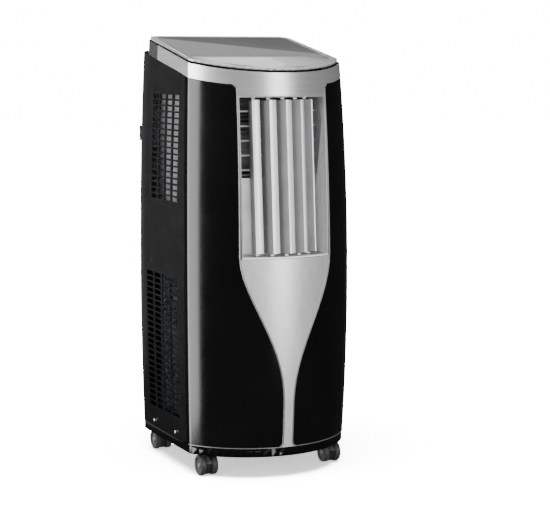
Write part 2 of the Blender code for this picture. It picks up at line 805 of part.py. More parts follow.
def outlet_duct():
    """The square duct from the blower's scroll to the upper half of the outlet."""
    wall = OUTLET_FRAME_WALL
    front = OUTLET_REAR_Y + GAP
    back = BLOWER_CENTRE[1] - SCROLL_RADIUS - GAP
    low = (-OUTLET_HALF, front, INNER_WALL_TOP + wall)
    high = (OUTLET_HALF, back, OUTLET_TOP)
    part = place("outlet_duct", box_mesh(low, high), "duct_grey")
    inside = box_mesh(
        (low[0] + wall, front - CUT, low[2] + wall), (high[0] - wall, back + CUT, high[2] - wall)
    )
    boolean(part, place_cutter("outlet_duct_inside", inside))


def scroll(name, centre, radius, width, rotation):
    """A round fan housing with an inlet in both ends."""
    inlet = radius * INLET_SHARE
    inside = radius - SCROLL_WALL
    half = width / 2
    floor = half - SCROLL_WALL
    profile = [
        (radius, half), (radius, -half), (inlet, -half), (inlet, -floor),
        (inside, -floor), (inside, floor), (inlet, floor), (inlet, half),
    ]
    return turned(name, profile, "duct_grey", centre, rotation)


def wheel(name, centre, radius, width, rotation):
    """A blower wheel: a cup with a hub, turned about its own axis."""
    half = width / 2
    inside = radius - WHEEL_RIM
    bore = SHAFT_RADIUS + SHAFT_PLAY
    profile = [
        (radius, half), (radius, -half), (inside, -half), (inside, -WHEEL_WEB), (HUB_RADIUS, -WHEEL_WEB),
        (HUB_RADIUS, -HUB_HALF), (bore, -HUB_HALF), (bore, HUB_HALF), (HUB_RADIUS, HUB_HALF),
        (HUB_RADIUS, WHEEL_WEB), (inside, WHEEL_WEB), (inside, half),
    ]
    return turned(name, profile, "duct_grey", centre, rotation)


def motor(name, centre, length, reach, rotation):
    """A motor whose shaft runs back towards the hub of its wheel by a given reach."""
    part = place(name, rod_mesh(MOTOR_RADIUS, length), "steel", centre, rotation)
    shaft = bmesh.new()
    add_rod(shaft, SHAFT_RADIUS, *sorted((0, reach)), 12)
    boolean(part, place_cutter(f"{name}_shaft", shaft, parent=part), "UNION")


def blower():
    x, y, z = BLOWER_CENTRE
    housing = scroll("blower_housing", BLOWER_CENTRE, SCROLL_RADIUS, SCROLL_WIDTH, X_AXIS)
    front = y - SCROLL_RADIUS
    low = (-MOUTH_HALF, front - CUT, z - MOUTH_DROP)
    mouth = box_mesh(low, (MOUTH_HALF, front + MOUTH_DEPTH, z + MOUTH_RISE))
    boolean(housing, place_cutter("blower_mouth", mouth))
    wheel("blower_wheel", BLOWER_CENTRE, BLOWER_RADIUS, BLOWER_WIDTH, X_AXIS)
    middle = SCROLL_WIDTH / 2 + GAP + BLOWER_MOTOR_LENGTH / 2
    motor("blower_motor", (middle, y, z), BLOWER_MOTOR_LENGTH, -middle - HUB_HALF, X_AXIS)


def condenser_blower():
    x, y, z = FAN_CENTRE
    front, rear = FAN_SCROLL_Y
    housing = scroll("fan_housing", (x, (front + rear) / 2, z), FAN_SCROLL_RADIUS, rear - front, Y_AXIS)
    outlet = rod_mesh(EXHAUST_RADIUS, CUT, 32)
    boolean(housing, place_cutter("fan_mouth", outlet, (x, rear, z), Y_AXIS))
    wheel("condenser_fan", FAN_CENTRE, FAN_RADIUS, FAN_WIDTH, Y_AXIS)
    middle = front - GAP - FAN_MOTOR_LENGTH / 2
    motor("fan_motor", (x, middle, z), FAN_MOTOR_LENGTH, y + HUB_HALF - middle, Y_AXIS)


def coil_block(name, half, y_range, z_range, open_front):
    """A U of fins round the fan, open towards the front or the rear."""
    front, rear = y_range
    low_z, high_z = z_range
    inner = half - COIL_DEPTH
    end, cut = (rear - COIL_DEPTH, front) if open_front else (front + COIL_DEPTH, rear)
    outline = [
        (-half, cut), (-inner, cut), (-inner, end), (inner, end), (inner, cut), (half, cut),
        (half, rear if open_front else front), (-half, rear if open_front else front),
    ]
    place(name, prism_mesh(outline, high_z - low_z), "fin_aluminium", (0, 0, low_z))


def filters():
    for side_name, side in SIDES:
        half = FILTER_THICKNESS / 2
        near, far = side * FILTER_X - half, side * FILTER_X + half
        shape = box_mesh((near, FILTER_Y[0], FILTER_Z[0]), (far, FILTER_Y[1], FILTER_Z[1]))
        place(f"air_filter_{side_name}", shape, "filter_grey")


def water_tray():
    front, rear = TRAY_Y
    low = (-TRAY_HALF, front, TRAY_Z)
    part = place("water_tray", box_mesh(low, (TRAY_HALF, rear, TRAY_Z + TRAY_HEIGHT)), "duct_grey")
    inside = box_mesh(
        (-TRAY_HALF + TRAY_WALL, front + TRAY_WALL, TRAY_Z + TRAY_WALL),
        (TRAY_HALF - TRAY_WALL, rear - TRAY_WALL, TRAY_Z + TRAY_HEIGHT + CUT),
    )
    boolean(part, place_cutter("tray_inside", inside))


def cooling_circuit():
    coil_block("evaporator_coil", EVAPORATOR_HALF, EVAPORATOR_Y, EVAPORATOR_Z, True)
    coil_block("condenser_coil", CONDENSER_HALF, CONDENSER_Y, CONDENSER_Z, False)
    floor = BASE_BOTTOM + BASE_WALL + GAP
    tanks = (
        ("compressor", COMPRESSOR_PLACE, COMPRESSOR_RADIUS, COMPRESSOR_HEIGHT, "satin_black"),
        ("accumulator", ACCUMULATOR_PLACE, ACCUMULATOR_RADIUS, ACCUMULATOR_HEIGHT, "copper"),
    )
    for name, (x, y), radius, height, paint_name in tanks:
        turned(name, tank_profile(radius, height), paint_name, (x, y, floor), steps=28)
    x, y = COMPRESSOR_PLACE
    top = floor + COMPRESSOR_HEIGHT + GAP
    high = top + DISCHARGE_RISE
    end = CONDENSER_Y[0] - GAP
    route = [(x, y, top), (x, y, high - PIPE_BEND / 2), (x, y + PIPE_BEND, high), (x, end, high)]
    pipe("discharge_pipe", route)
    x, y = ACCUMULATOR_PLACE
    top = floor + ACCUMULATOR_HEIGHT + GAP
    high = OUTLET_BOTTOM - SUCTION_DROP
    end = TRAY_Y[0] + SUCTION_REACH
    route = [(x, y, top), (x, y, high - PIPE_BEND), (x, y + PIPE_BEND, high), (x, end, high)]
    pipe("suction_pipe", route)


def tank_profile(radius, height):
    """Half the outline of an upright tank with domed ends, closed on the axis."""
    dome = radius * 0.35
    turns = (0, 0.5, 1.0, math.pi / 2)
    upper = [(radius * math.sin(turn), height - dome + dome * math.cos(turn)) for turn in turns]
    lower = [(radius, TANK_BEVEL), (radius - TANK_BEVEL, 0), (0, 0)]
    return upper + lower


def pipe(name, route):
    """A bent tube through the points of a route."""
    curve = bpy.data.curves.new(name, "CURVE")
    curve.dimensions = "3D"
    curve.bevel_depth = PIPE_RADIUS
    curve.bevel_resolution = 2
    curve.use_fill_caps = True
    line = curve.splines.new("POLY")
    line.points.add(len(route) - 1)
    for point, spot in zip(line.points, route):
        point.co = (*spot, 1)
    place(name, curve, "copper")


def electrical_box():
    part = place("electrical_box", box_mesh(*ELECTRICAL_BOX), "satin_black")
    bevel = part.modifiers.new("Bevel", "BEVEL")
    bevel.width = BOX_BEVEL
    bevel.segments = 1


def rear_fittings():
    collar = (0, REAR_Y + GAP, FAN_CENTRE[2])
    outer = EXHAUST_RADIUS + COLLAR_WALL
    profile = [(outer, COLLAR_REACH), (outer, 0), (EXHAUST_RADIUS, 0), (EXHAUST_RADIUS, COLLAR_REACH)]
    turned("exhaust_collar", profile, "satin_black", collar, Y_AXIS)
    for side_name, side in SIDES:
        spot = (side * HOOK_X - HOOK_WIDTH / 2, REAR_Y, HOOK_Z)
        place(f"cord_hook_{side_name}", hook_mesh(), "satin_black", spot, X_AXIS)
    x, z = GLAND_PLACE
    gland = rod_mesh(GLAND_RADIUS, GLAND_LENGTH)
    place("cord_gland", gland, "rubber_black", (x, REAR_Y + GAP + GLAND_LENGTH / 2, z), Y_AXIS)
    x, z = DRAIN_PLACE
    knob, flange = DRAIN_KNOB, DRAIN_FLANGE
    plug = [(knob[0], knob[1]), (knob[0], flange[1]), (flange[0], flange[1]), (flange[0], 0)]
    plug += [(0, 0), (0, knob[1])]
    turned("drain_plug", plug, "rubber_black", (x, REAR_Y + GAP, z), Y_AXIS, steps=20)


def hook_mesh():
    """A T of constant width: its outline lies in YZ and is drawn here as (-z, y) for the turn about Y."""
    half = HOOK_HEIGHT / 2
    arm = HOOK_THICKNESS / 2
    neck = HOOK_REACH - HOOK_THICKNESS
    outline = [
        (-arm, GAP), (arm, GAP), (arm, neck), (half, neck),
        (half, HOOK_REACH), (-half, HOOK_REACH), (-half, neck), (-arm, neck),
    ]
    return prism_mesh(outline, HOOK_WIDTH)


def side_screws():
    for side_name, side in SIDES:
        for index, y in enumerate(SCREW_YS):
            x, y, z = on_cabinet(HALF_WIDTH, y, SCREW_Z)
            spot = (side * (x + SCREW_HEAD), y, z)
            head = rod_mesh(SCREW_RADIUS, SCREW_HEAD, 12)
            place(f"side_screw_{side_name}_{index + 1}", head, "steel", spot, X_AXIS)


def casters():
    for row, y in zip(("front", "rear"), CASTER_YS):
        for side_name, side in SIDES:
            name = f"{row}_{side_name}"
            pivot = bpy.data.objects.new(f"caster_pivot_{name}", None)
            pivot.location = (side * CASTER_X, y, 0)
            PARTS.objects.link(pivot)
            axle = (0, CASTER_TRAIL, WHEEL_RADIUS)
            place(f"caster_fork_{name}", fork_mesh(), "satin_black", parent=pivot)
            axle = (0, CASTER_TRAIL, WHEEL_RADIUS)
            turned(f"caster_wheels_{name}", wheel_pair(), "rubber_black", axle, X_AXIS, 28, pivot)
            join_fork(name, pivot)


def join_fork(name, pivot):
    """Joins a neck and a pivot plate to the fork's web, and bores it for the axle."""
    fork = bpy.data.objects[f"caster_fork_{name}"]
    top = BASE_BOTTOM - GAP
    high = (CASTER_WEB, CASTER_TRAIL, top - PLATE_THICKNESS / 2)
    neck = box_mesh((-CASTER_WEB, -NECK_REACH, WHEEL_RADIUS), high)
    boolean(fork, place_cutter(f"caster_neck_{name}", neck, parent=pivot), "UNION")
    plate = rod_mesh(PLATE_RADIUS, PLATE_THICKNESS, 20)
    spot = (0, 0, top - PLATE_THICKNESS / 2)
    boolean(fork, place_cutter(f"caster_plate_{name}", plate, spot, parent=pivot), "UNION")
    bore = rod_mesh(AXLE_RADIUS + SHAFT_PLAY, 2 * CUT, 16)
    axle = (0, CASTER_TRAIL, WHEEL_RADIUS)
    boolean(fork, place_cutter(f"caster_bore_{name}", bore, axle, X_AXIS, pivot))


def fork_mesh():
    """The round web between a caster's two wheels."""
    web = bmesh.new()
    add_rod(web, WHEEL_RADIUS - WEB_CLEARANCE, -CASTER_WEB, CASTER_WEB, 24, X_AXIS)
    bmesh.ops.translate(web, verts=web.verts, vec=(0, CASTER_TRAIL, WHEEL_RADIUS))
    return web


def wheel_pair():
    """Half the outline of two wheels on one axle, closed on the axis."""
    near = CASTER_WEB + WHEEL_PLAY
    far = near + WHEEL_WIDTH
    rim = WHEEL_RADIUS
    lower = [
        (AXLE_RADIUS, near), (rim - RIM_BEVEL / 2, near), (rim, near + RIM_BEVEL / 2),
        (rim, far - RIM_BEVEL), (rim - RIM_BEVEL, far), (0, far),
    ]
    return lower[::-1] + [(radius, -height) for radius, height in lower]


if __name__ == "__main__":
    clear_scene()
    PARTS = new_collection("portable_air_conditioner")
    CUTTERS = new_collection("cutters", hidden=True)
    for side_name, side in SIDES:
        front_panel(side_name, side)
        side_panel(side_name, side)
    rear_panel()
    rear_shoulder()
    base_pan()
    silver_collar()
    rear_collar()
    top_cover()
    control_glass()
    display_board()
    front_insert()
    outlet_frame()
    inner_wall()
    vanes()
    slats()
    outlet_duct()
    blower()
    condenser_blower()
    filters()
    water_tray()
    cooling_circuit()
    electrical_box()
    rear_fittings()
    side_screws()
    casters()
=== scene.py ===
"""The looks of a portable air conditioner: trim, vanes, grilles, wheels and finishes around its CAD model.

Sizes are in metres, +Z up, with the front towards -Y. Each piece rides on one body of the CAD model.
"""

import math

import bmesh
import bpy
from mathutils import Matrix, Vector


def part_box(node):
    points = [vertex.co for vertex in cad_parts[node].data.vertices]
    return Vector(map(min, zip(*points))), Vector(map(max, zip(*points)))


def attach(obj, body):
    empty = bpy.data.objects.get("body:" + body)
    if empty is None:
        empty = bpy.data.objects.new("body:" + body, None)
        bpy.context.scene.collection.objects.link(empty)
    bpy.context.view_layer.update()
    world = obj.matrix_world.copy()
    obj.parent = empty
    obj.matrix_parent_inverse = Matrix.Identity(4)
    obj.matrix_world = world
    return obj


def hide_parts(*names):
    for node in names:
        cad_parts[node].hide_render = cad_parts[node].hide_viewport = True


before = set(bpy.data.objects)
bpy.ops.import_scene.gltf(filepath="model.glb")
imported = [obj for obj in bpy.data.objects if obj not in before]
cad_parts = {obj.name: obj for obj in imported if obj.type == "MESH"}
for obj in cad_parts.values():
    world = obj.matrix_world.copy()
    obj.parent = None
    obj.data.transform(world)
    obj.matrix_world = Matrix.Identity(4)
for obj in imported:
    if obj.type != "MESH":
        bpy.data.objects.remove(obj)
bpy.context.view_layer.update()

bl_info = {
    "name": "Portable Air Conditioner Looks",
    "version": (1, 0, 0),
    "blender": (4, 5, 0),
    "location": "View3D > Sidebar > Air Conditioner",
    "description": "Builds the trim, vanes, grilles, wheels and finishes of a portable air conditioner",
    "category": "Object",
}

SIDES = (("left", -1), ("right", 1))
GAP = 0.0004
WALL = 0.0025
CORNERS = tuple(f"{row}_{side}" for row in ("front", "rear") for side in ("left", "right"))

# The cabinet's surface: a wide front arc, scaled about the rear face by a swell that changes with height
REAR_Y = 0.154
FRONT_Y = -0.1784
FRONT_RADIUS = 0.177
HALF_WIDTH = 0.152
CORNER_RADIUS = 0.017
SWELL = 0.034
SWELL_Z = 0.3375
SWELL_CURVE = 0.4338
LID_Z = 0.750
LID_SLOPE = 0.1931
BAND_HEIGHT = 0.0267
BAND_END_Y = REAR_Y - 0.088
LID_GAP = 0.0012
LID_REAR_Y = REAR_Y - 0.021
LID_REAR_RADIUS = 0.022
REAR_RADIUS = 0.016
SEAM_BEHIND_CORNER = 0.0113
REAR_PANEL_HALF = 0.1285
LID_RISE = 0.004
GRIP_LAP = 0.0015
GRIP_DEPTH = 0.0034

# The silver insert's outline
STEM_HALF = 0.0094
STEM_TOP = 0.127
BOWL_HALF = 0.0870
BOWL_TOP = 0.397
BOWL_POWER = 1.2
OPENING_TAPER = 0.0095
BASE_TOP = 0.0559
PANEL_FILLET = 0.010
OUTLET_HALF = 0.0815
OUTLET_BOTTOM = 0.395
OUTLET_TOP = 0.672
OUTLET_MARGIN = 0.0026
LIP_RADIUS = 0.0017
BASE_BEAD_RADIUS = 0.0009

# Vanes: where their pivots stand and the section of a blade
VANE_COUNT = 5
SLAT_COUNT = 5
VANE_ARC_RADIUS = 0.084
VANE_ARC_Y = FRONT_Y + 0.0981
VANE_STEP = math.radians(17.8)
VANE_TURN = math.radians(31.4)
VANE_LEAN = math.radians(3.9)
VANE_NOSE = 0.0144
VANE_WAIST_HALF = 0.0058
VANE_TAIL_HALF = 0.0030
NOSE_CAP = 0.0022
NOSE_EDGE = 0.0007
PIN_RADIUS = 0.0011
PIN_LENGTH = 0.0028
SOCKET_NEAR = 0.0012
SOCKET_FAR = 0.0046
SOCKET_RADIUS = 0.0034

# Fins, blades and screws
FIN_WIDTH = 0.0022
FIN_THICKNESS = 0.0005
FIN_END = 0.002
FIN_CLEARANCE = 0.0002
BLADE_CHORD = 0.011
BLADE_THICKNESS = 0.0011
BLADE_LEAN = 0.6
SCREW_TURN = 0.4

# The stage
CAMERA_PLACE = (-1.2339, -2.8136, 0.7446)
CAMERA_AZIMUTH = math.radians(24.645)
CAMERA_TILT = math.radians(6.795)
FLOOR_HALF = 14
GLOW_START = 0.35
GLOW_END = 1.6

# Side grilles: the rear edge, bottom and rows of the upper one and of the lower one
GRILLE_COLUMNS = 4
GRILLE_FRONT = 0.0295
ROW_PITCH = 0.0107
GRILLES = (
    (REAR_Y - 0.0715, 0.485, 18),
    (REAR_Y - 0.0480, 0.0945, 24),
)


# Finishes


class Finish:
    """A small helper that wires one Principled material out of procedural patterns."""

    def __init__(self, name, colour, roughness, metallic=0.0):
        self.material = bpy.data.materials.new(name)
        self.material.use_nodes = True
        self.tree = self.material.node_tree
        self.surface = self.tree.nodes["Principled BSDF"]
        self.surface.inputs["Base Color"].default_value = (*colour, 1)
        self.surface.inputs["Roughness"].default_value = roughness
        self.surface.inputs["Metallic"].default_value = metallic
        self.place = self.tree.nodes.new("ShaderNodeTexCoord").outputs["Object"]
        self.normal = None

    def add(self, kind, **settings):
        """A node with its attributes and its inputs set by name."""
        made = self.tree.nodes.new(kind)
        for name, value in settings.items():
            if hasattr(made, name):
                setattr(made, name, value)
            else:
                made.inputs[name.replace("_", " ")].default_value = value
        return made

    def link(self, source, target):
        self.tree.links.new(source, target)

    def stretched(self, scale):
        """Object coordinates, scaled along each axis."""
        mapping = self.add("ShaderNodeMapping")
        mapping.inputs["Scale"].default_value = scale
        self.link(self.place, mapping.inputs["Vector"])
        return mapping.outputs["Vector"]

    def noise(self, scale, detail=2.0, stretch=(1, 1, 1)):
        """A soft random pattern, finer as the scale grows."""
        made = self.add("ShaderNodeTexNoise", Scale=scale, Detail=detail)
        self.link(self.stretched(stretch), made.inputs["Vector"])
        return made.outputs["Fac"]

    def spread(self, source, low, high):
        """A 0 to 1 pattern, spread from low to high."""
        made = self.add("ShaderNodeMapRange")
        made.inputs["To Min"].default_value = low
        made.inputs["To Max"].default_value = high
        self.link(source, made.inputs["Value"])
        return made.outputs["Result"]

    def tint(self, source, dark, light, low=0.35, high=0.65):
        """Base colour between two colours, by a pattern."""
        ramp = self.add("ShaderNodeValToRGB")
        first, last = ramp.color_ramp.elements
        first.position, last.position = low, high
        first.color, last.color = (*dark, 1), (*light, 1)
        self.link(source, ramp.inputs["Fac"])
        self.link(ramp.outputs["Color"], self.surface.inputs["Base Color"])

    def bump(self, source, distance, strength=1.0):
        """Relief from a pattern, on top of any relief already there."""
        made = self.add("ShaderNodeBump", Strength=strength, Distance=distance)
        self.link(source, made.inputs["Height"])
        if self.normal:
            self.link(self.normal, made.inputs["Normal"])
        self.normal = made.outputs["Normal"]
        self.link(self.normal, self.surface.inputs["Normal"])

    def rough(self, source, low, high):
        """Roughness from a pattern, between two values."""
        self.link(self.spread(source, low, high), self.surface.inputs["Roughness"])


def gloss_black_lacquer(settings):
    """Piano-black moulding: a deep coat with the faintest orange peel and a little dust."""
    finish = Finish("Gloss black lacquer", settings.lacquer, 0.16)
    finish.surface.inputs["Specular IOR Level"].default_value = 0.4
    finish.tint(finish.noise(9, 3), settings.lacquer, [c * 1.35 for c in settings.lacquer])
    finish.rough(finish.noise(26, 4), 0.12, 0.20)
    finish.bump(finish.noise(150, 2), 0.00003, 0.5)
    return finish.material


def side_black_plastic(settings):
    """The side panels' black, a shade duller than the front."""
    finish = Finish("Side panel black", settings.side_black, 0.24)
    finish.surface.inputs["Specular IOR Level"].default_value = 0.4
    finish.tint(finish.noise(7, 3), settings.side_black, [c * 1.3 for c in settings.side_black])
    finish.rough(finish.noise(30, 4), 0.20, 0.30)
    finish.bump(finish.noise(420, 2), 0.00004, 0.5)
    return finish.material


def grained_plastic(name, colour, roughness, grain=900, depth=0.0001):
    """Moulded plastic with a fine spark-eroded grain and slight flow marks."""
    finish = Finish(name, colour, roughness)
    finish.tint(finish.noise(14, 3), [c * 0.88 for c in colour], [min(1, c * 1.12) for c in colour])
    finish.rough(finish.noise(55, 3), roughness - 0.06, roughness + 0.06)
    finish.bump(finish.noise(grain, 2), depth, 0.6)
    return finish.material


def silver_lacquer(name, colour, roughness, brush, metallic=0.75):
    """Silver lacquer with a fine metallic fleck, brushed along one axis."""
    finish = Finish(name, colour, roughness, metallic)
    streaks = finish.noise(70, 4, brush)
    finish.tint(streaks, [c * 0.93 for c in colour], [min(1, c * 1.05) for c in colour])
    finish.rough(streaks, roughness - 0.05, roughness + 0.07)
    finish.bump(finish.noise(900, 2), 0.00002, 0.5)
    return finish.material


def smoked_glass(settings):
    """The lid's tinted glass over a pale display: glossy, with a soft fingerprint haze."""
    finish = Finish("Control glass", settings.glass, 0.10, 0.0)
    finish.surface.inputs["Coat Weight"].default_value = 0.8
    finish.surface.inputs["Coat Roughness"].default_value = 0.04
    finish.tint(finish.noise(8, 2), settings.glass, [c * 1.06 for c in settings.glass])
    finish.rough(finish.noise(20, 3), 0.08, 0.16)
    return finish.material


def woven_filter(settings):
    """A fine nylon mesh: two crossed sets of threads, with dark holes between them."""
    finish = Finish("Filter mesh painted hole shade", settings.filter_grey, 0.8)
    threads = []
    for direction in ("Y", "Z"):
        wave = finish.add("ShaderNodeTexWave", bands_direction=direction, Scale=260, Distortion=0.0)
        finish.link(finish.place, wave.inputs["Vector"])
        threads.append(wave.outputs["Fac"])
    higher = finish.add("ShaderNodeMath", operation="MAXIMUM")
    finish.link(threads[0], higher.inputs[0])
    finish.link(threads[1], higher.inputs[1])
    # The holes' darker grey is painted shade for what is seen through the mesh, not the threads' own colour.
    dark = [c * 0.35 for c in settings.filter_grey]
    finish.tint(higher.outputs["Value"], dark, settings.filter_grey, 0.45, 0.8)
    finish.bump(higher.outputs["Value"], 0.0003)
    return finish.material


def fins_with_painted_gap_shade(name, dark, light, direction, roughness=0.42):
    """A stack of thin fins: light edges and dark gaps."""
    finish = Finish(name, light, roughness, 0.8)
    wave = finish.add("ShaderNodeTexWave", bands_direction=direction, Scale=150, Distortion=0.0)
    finish.link(finish.place, wave.inputs["Vector"])
    finish.tint(wave.outputs["Fac"], dark, light, 0.3, 0.7)
    finish.bump(wave.outputs["Fac"], 0.0006)
    return finish.material


def drawn_metal(name, colour, roughness, stretch):
    """Drawn or turned metal with fine lines and a little tarnish."""
    finish = Finish(name, colour, roughness, 1.0)
    finish.tint(finish.noise(30, 4), [c * 0.78 for c in colour], colour)
    lines = finish.noise(120, 3, stretch)
    finish.rough(lines, roughness - 0.08, roughness + 0.12)
    finish.bump(lines, 0.00003, 0.5)
    return finish.material


def circuit_board():
    """Green solder mask with paler tracks."""
    finish = Finish("Circuit board", (0.02, 0.12, 0.06), 0.5)
    bricks = finish.add("ShaderNodeTexBrick", Scale=120, Mortar_Size=0.08)
    bricks.inputs["Color1"].default_value = (0.015, 0.10, 0.05, 1)
    bricks.inputs["Color2"].default_value = (0.02, 0.13, 0.06, 1)
    bricks.inputs["Mortar"].default_value = (0.06, 0.24, 0.12, 1)
    finish.link(finish.place, bricks.inputs["Vector"])
    finish.link(bricks.outputs["Color"], finish.surface.inputs["Base Color"])
    finish.bump(bricks.outputs["Fac"], 0.0001)
    return finish.material


FINISHES = {}


# Mesh helpers


def add_piece(name, shape, finish, body, replaced=(), angle=None):
    """A finished piece from a bmesh: closed, facing out, riding on its body, smooth below the angle."""
    data = bpy.data.meshes.new(name)
    bmesh.ops.recalc_face_normals(shape, faces=shape.faces)
    shape.to_mesh(data)
    shape.free()
    piece = bpy.data.objects.new(name, data)
    bpy.context.scene.collection.objects.link(piece)
    data.materials.append(FINISHES[finish])
    if angle:
        smooth(piece, angle)
    settle(piece, body, replaced)


def settle(piece, body, replaced=()):
    """Tells the frame which body a finished piece rides on, its slot and the CAD nodes it stands for."""
    if replaced:
        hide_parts(*replaced)
    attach(piece, body)


def smooth(piece, angle):
    """Smooth shading that keeps edges sharper than the angle."""
    for face in piece.data.polygons:
        face.use_smooth = True
    piece.data.set_sharp_from_angle(angle=math.radians(angle))


def add_box(shape, low, high, matrix=None):
    """A box between two corners, moved by the matrix."""
    size = [b - a for a, b in zip(low, high)]
    middle = [(a + b) / 2 for a, b in zip(low, high)]
    local = Matrix.Translation(middle) @ Matrix.Diagonal((*size, 1))
    bmesh.ops.create_cube(shape, size=1, matrix=(matrix @ local) if matrix else local)


def add_turned(shape, profile, matrix, steps=40):
    """A closed ring of (radius, height) points turned about the matrix's Z axis."""
    rings = []
    for step in range(steps):
        angle = 2 * math.pi * step / steps
        rings.append([
            shape.verts.new(matrix @ Vector((r * math.cos(angle), r * math.sin(angle), h)))
            for r, h in profile
        ])
    count = len(profile)
    for step in range(steps):
        here, after = rings[step], rings[(step + 1) % steps]
        for index in range(count):
            other = (index + 1) % count
            shape.faces.new((here[index], after[index], after[other], here[other]))


def add_disc(shape, profile, matrix, steps=32):
    """Like add_turned, for an open profile whose two ends are closed with flat caps."""
    rings = []
    for r, h in profile:
        rings.append([
            shape.verts.new(matrix @ Vector((
                r * math.cos(2 * math.pi * step / steps), r * math.sin(2 * math.pi * step / steps), h,
            )))
            for step in range(steps)
        ])
    for low, high in zip(rings, rings[1:]):
        for step in range(steps):
            after = (step + 1) % steps
            shape.faces.new((low[step], low[after], high[after], high[step]))
    shape.faces.new(rings[0][::-1])
    shape.faces.new(rings[-1])


def add_tube(shape, path, radius, steps=8, closed=False, flatten=1.0):
    """A round or oval bead that follows a path of points."""
    count = len(path)
    rings = []
    for index, point in enumerate(path):
        before = path[index - 1] if index or closed else path[0]
        after = path[(index + 1) % count] if index < count - 1 or closed else path[-1]
        along = (after - before).normalized()
        side = along.cross(Vector((0, 0, 1)) if abs(along.z) < 0.9 else Vector((0, 1, 0))).normalized()
        up = side.cross(along)
        rings.append([
            shape.verts.new(
                point + side * radius * math.cos(2 * math.pi * step / steps)
                + up * radius * flatten * math.sin(2 * math.pi * step / steps)
            )
            for step in range(steps)
        ])
    pairs = list(zip(rings, rings[1:])) + ([(rings[-1], rings[0])] if closed else [])
    for here, after in pairs:
        for step in range(steps):
            other = (step + 1) % steps
            shape.faces.new((here[step], here[other], after[other], after[step]))
    if not closed:
        shape.faces.new(rings[0][::-1])
        shape.faces.new(rings[-1])


def turned_to(axis, centre):
    """A matrix whose Z runs along the axis from the centre."""
    turn = Vector((0, 0, 1)).rotation_difference(Vector(axis)).to_matrix().to_4x4()
    return Matrix.Translation(centre) @ turn


# Geometry Nodes helpers


class NodeTree:
    """Builds a Geometry Nodes tree with named inputs, then applies it to an empty mesh."""

    def __init__(self, name):
        self.tree = bpy.data.node_groups.new(name, "GeometryNodeTree")
        self.tree.interface.new_socket("Geometry", in_out="OUTPUT", socket_type="NodeSocketGeometry")
        self.source = self.tree.nodes.new("NodeGroupInput")
        self.values = {}

    def value(self, name, value, kind="NodeSocketFloat"):
        """A named input of the tree and the value this object gives it."""
        socket = self.tree.interface.new_socket(name, in_out="INPUT", socket_type=kind)
        self.values[socket.identifier] = value
        return self.source.outputs[name]

    def add(self, kind, links=None, **settings):
        """A node with its attributes set and its inputs linked or given a value."""
        made = self.tree.nodes.new(kind)
        for name, value in settings.items():
            setattr(made, name, value)
        for socket, source in (links or {}).items():
            target = made.inputs[socket]
            if isinstance(source, bpy.types.NodeSocket):
                self.tree.links.new(source, target)
            else:
                target.default_value = source
        return made

    def finish(self, geometry, material):
        """Ends the tree in Realize Instances and Set Material."""
        real = self.add("GeometryNodeRealizeInstances", {"Geometry": geometry})
        coated = self.add("GeometryNodeSetMaterial", {"Geometry": real.outputs[0], "Material": material})
        end = self.tree.nodes.new("NodeGroupOutput")
        self.tree.links.new(coated.outputs[0], end.inputs[0])

    def to_piece(self, name, matrix=None):
        """Evaluates the tree on an empty mesh and keeps the result as a plain mesh object."""
        seed = bpy.data.objects.new(name, bpy.data.meshes.new(name + "_seed"))
        bpy.context.scene.collection.objects.link(seed)
        modifier = seed.modifiers.new("Build", "NODES")
        modifier.node_group = self.tree
        for identifier, value in self.values.items():
            modifier[identifier] = value
        graph = bpy.context.evaluated_depsgraph_get()
        graph.update()
        data = bpy.data.meshes.new_from_object(seed.evaluated_get(graph))
        bpy.data.objects.remove(seed, do_unlink=True)
        if matrix:
            data.transform(matrix)
        data.name = name
        piece = bpy.data.objects.new(name, data)
        bpy.context.scene.collection.objects.link(piece)
        return piece


def instances(nodes, points, shape, rotation=None):
    """The geometry of one shape placed on every point."""
    links = {"Points": points, "Instance": shape}
    if rotation:
        links["Rotation"] = rotation
    return nodes.add("GeometryNodeInstanceOnPoints", links).outputs["Instances"]


def row_of(nodes, count, step):
    """A row of points: count of them, step apart, from the origin."""
    line = nodes.add("GeometryNodeMeshLine", {"Count": count, "Offset": step})
    return line.outputs["Mesh"]


# The cabinet's surface


def swell(z):
    """How much wider the plan is at height z than in the middle of the cabinet."""
    return 1 + SWELL - SWELL_CURVE * (z - SWELL_Z) ** 2


def arc_centre_y():
    """Where the wide front arc has its centre."""
    return FRONT_Y + FRONT_RADIUS


def corner_angle():
    """Where the wide arc meets the small corner arc."""
    return math.asin((HALF_WIDTH - CORNER_RADIUS) / (FRONT_RADIUS - CORNER_RADIUS))


def on_cabinet(x, y, z):
    """A plan point, moved to its place on the swelled surface at height z."""
    size = swell(z)
    return Vector((x * size, REAR_Y + (y - REAR_Y) * size, z))


def front_point(angle):
    """A plan point of the wide front arc, at an angle from -Y."""
    return (FRONT_RADIUS * math.sin(angle), arc_centre_y() - FRONT_RADIUS * math.cos(angle))


def front_at(x, z, proud=0.0):
    """A point on the front at a true x and height, or standing proud of it."""
    angle = math.asin(x / swell(z) / FRONT_RADIUS)
    return on_cabinet(*front_point(angle), z) + Vector((math.sin(angle), -math.cos(angle), 0)) * proud


def corner_point(angle):
    """A point of the small front corner, at an angle from -Y."""
    reach = FRONT_RADIUS - CORNER_RADIUS
    centre_y = arc_centre_y() - reach * math.cos(corner_angle())
    x = HALF_WIDTH - CORNER_RADIUS + CORNER_RADIUS * math.sin(angle)
    return (x, centre_y - CORNER_RADIUS * math.cos(angle))


def band_bottom(y):
    """Height of the band's lower edge, which slopes with the lid."""
    return LID_Z + LID_SLOPE * y - BAND_HEIGHT


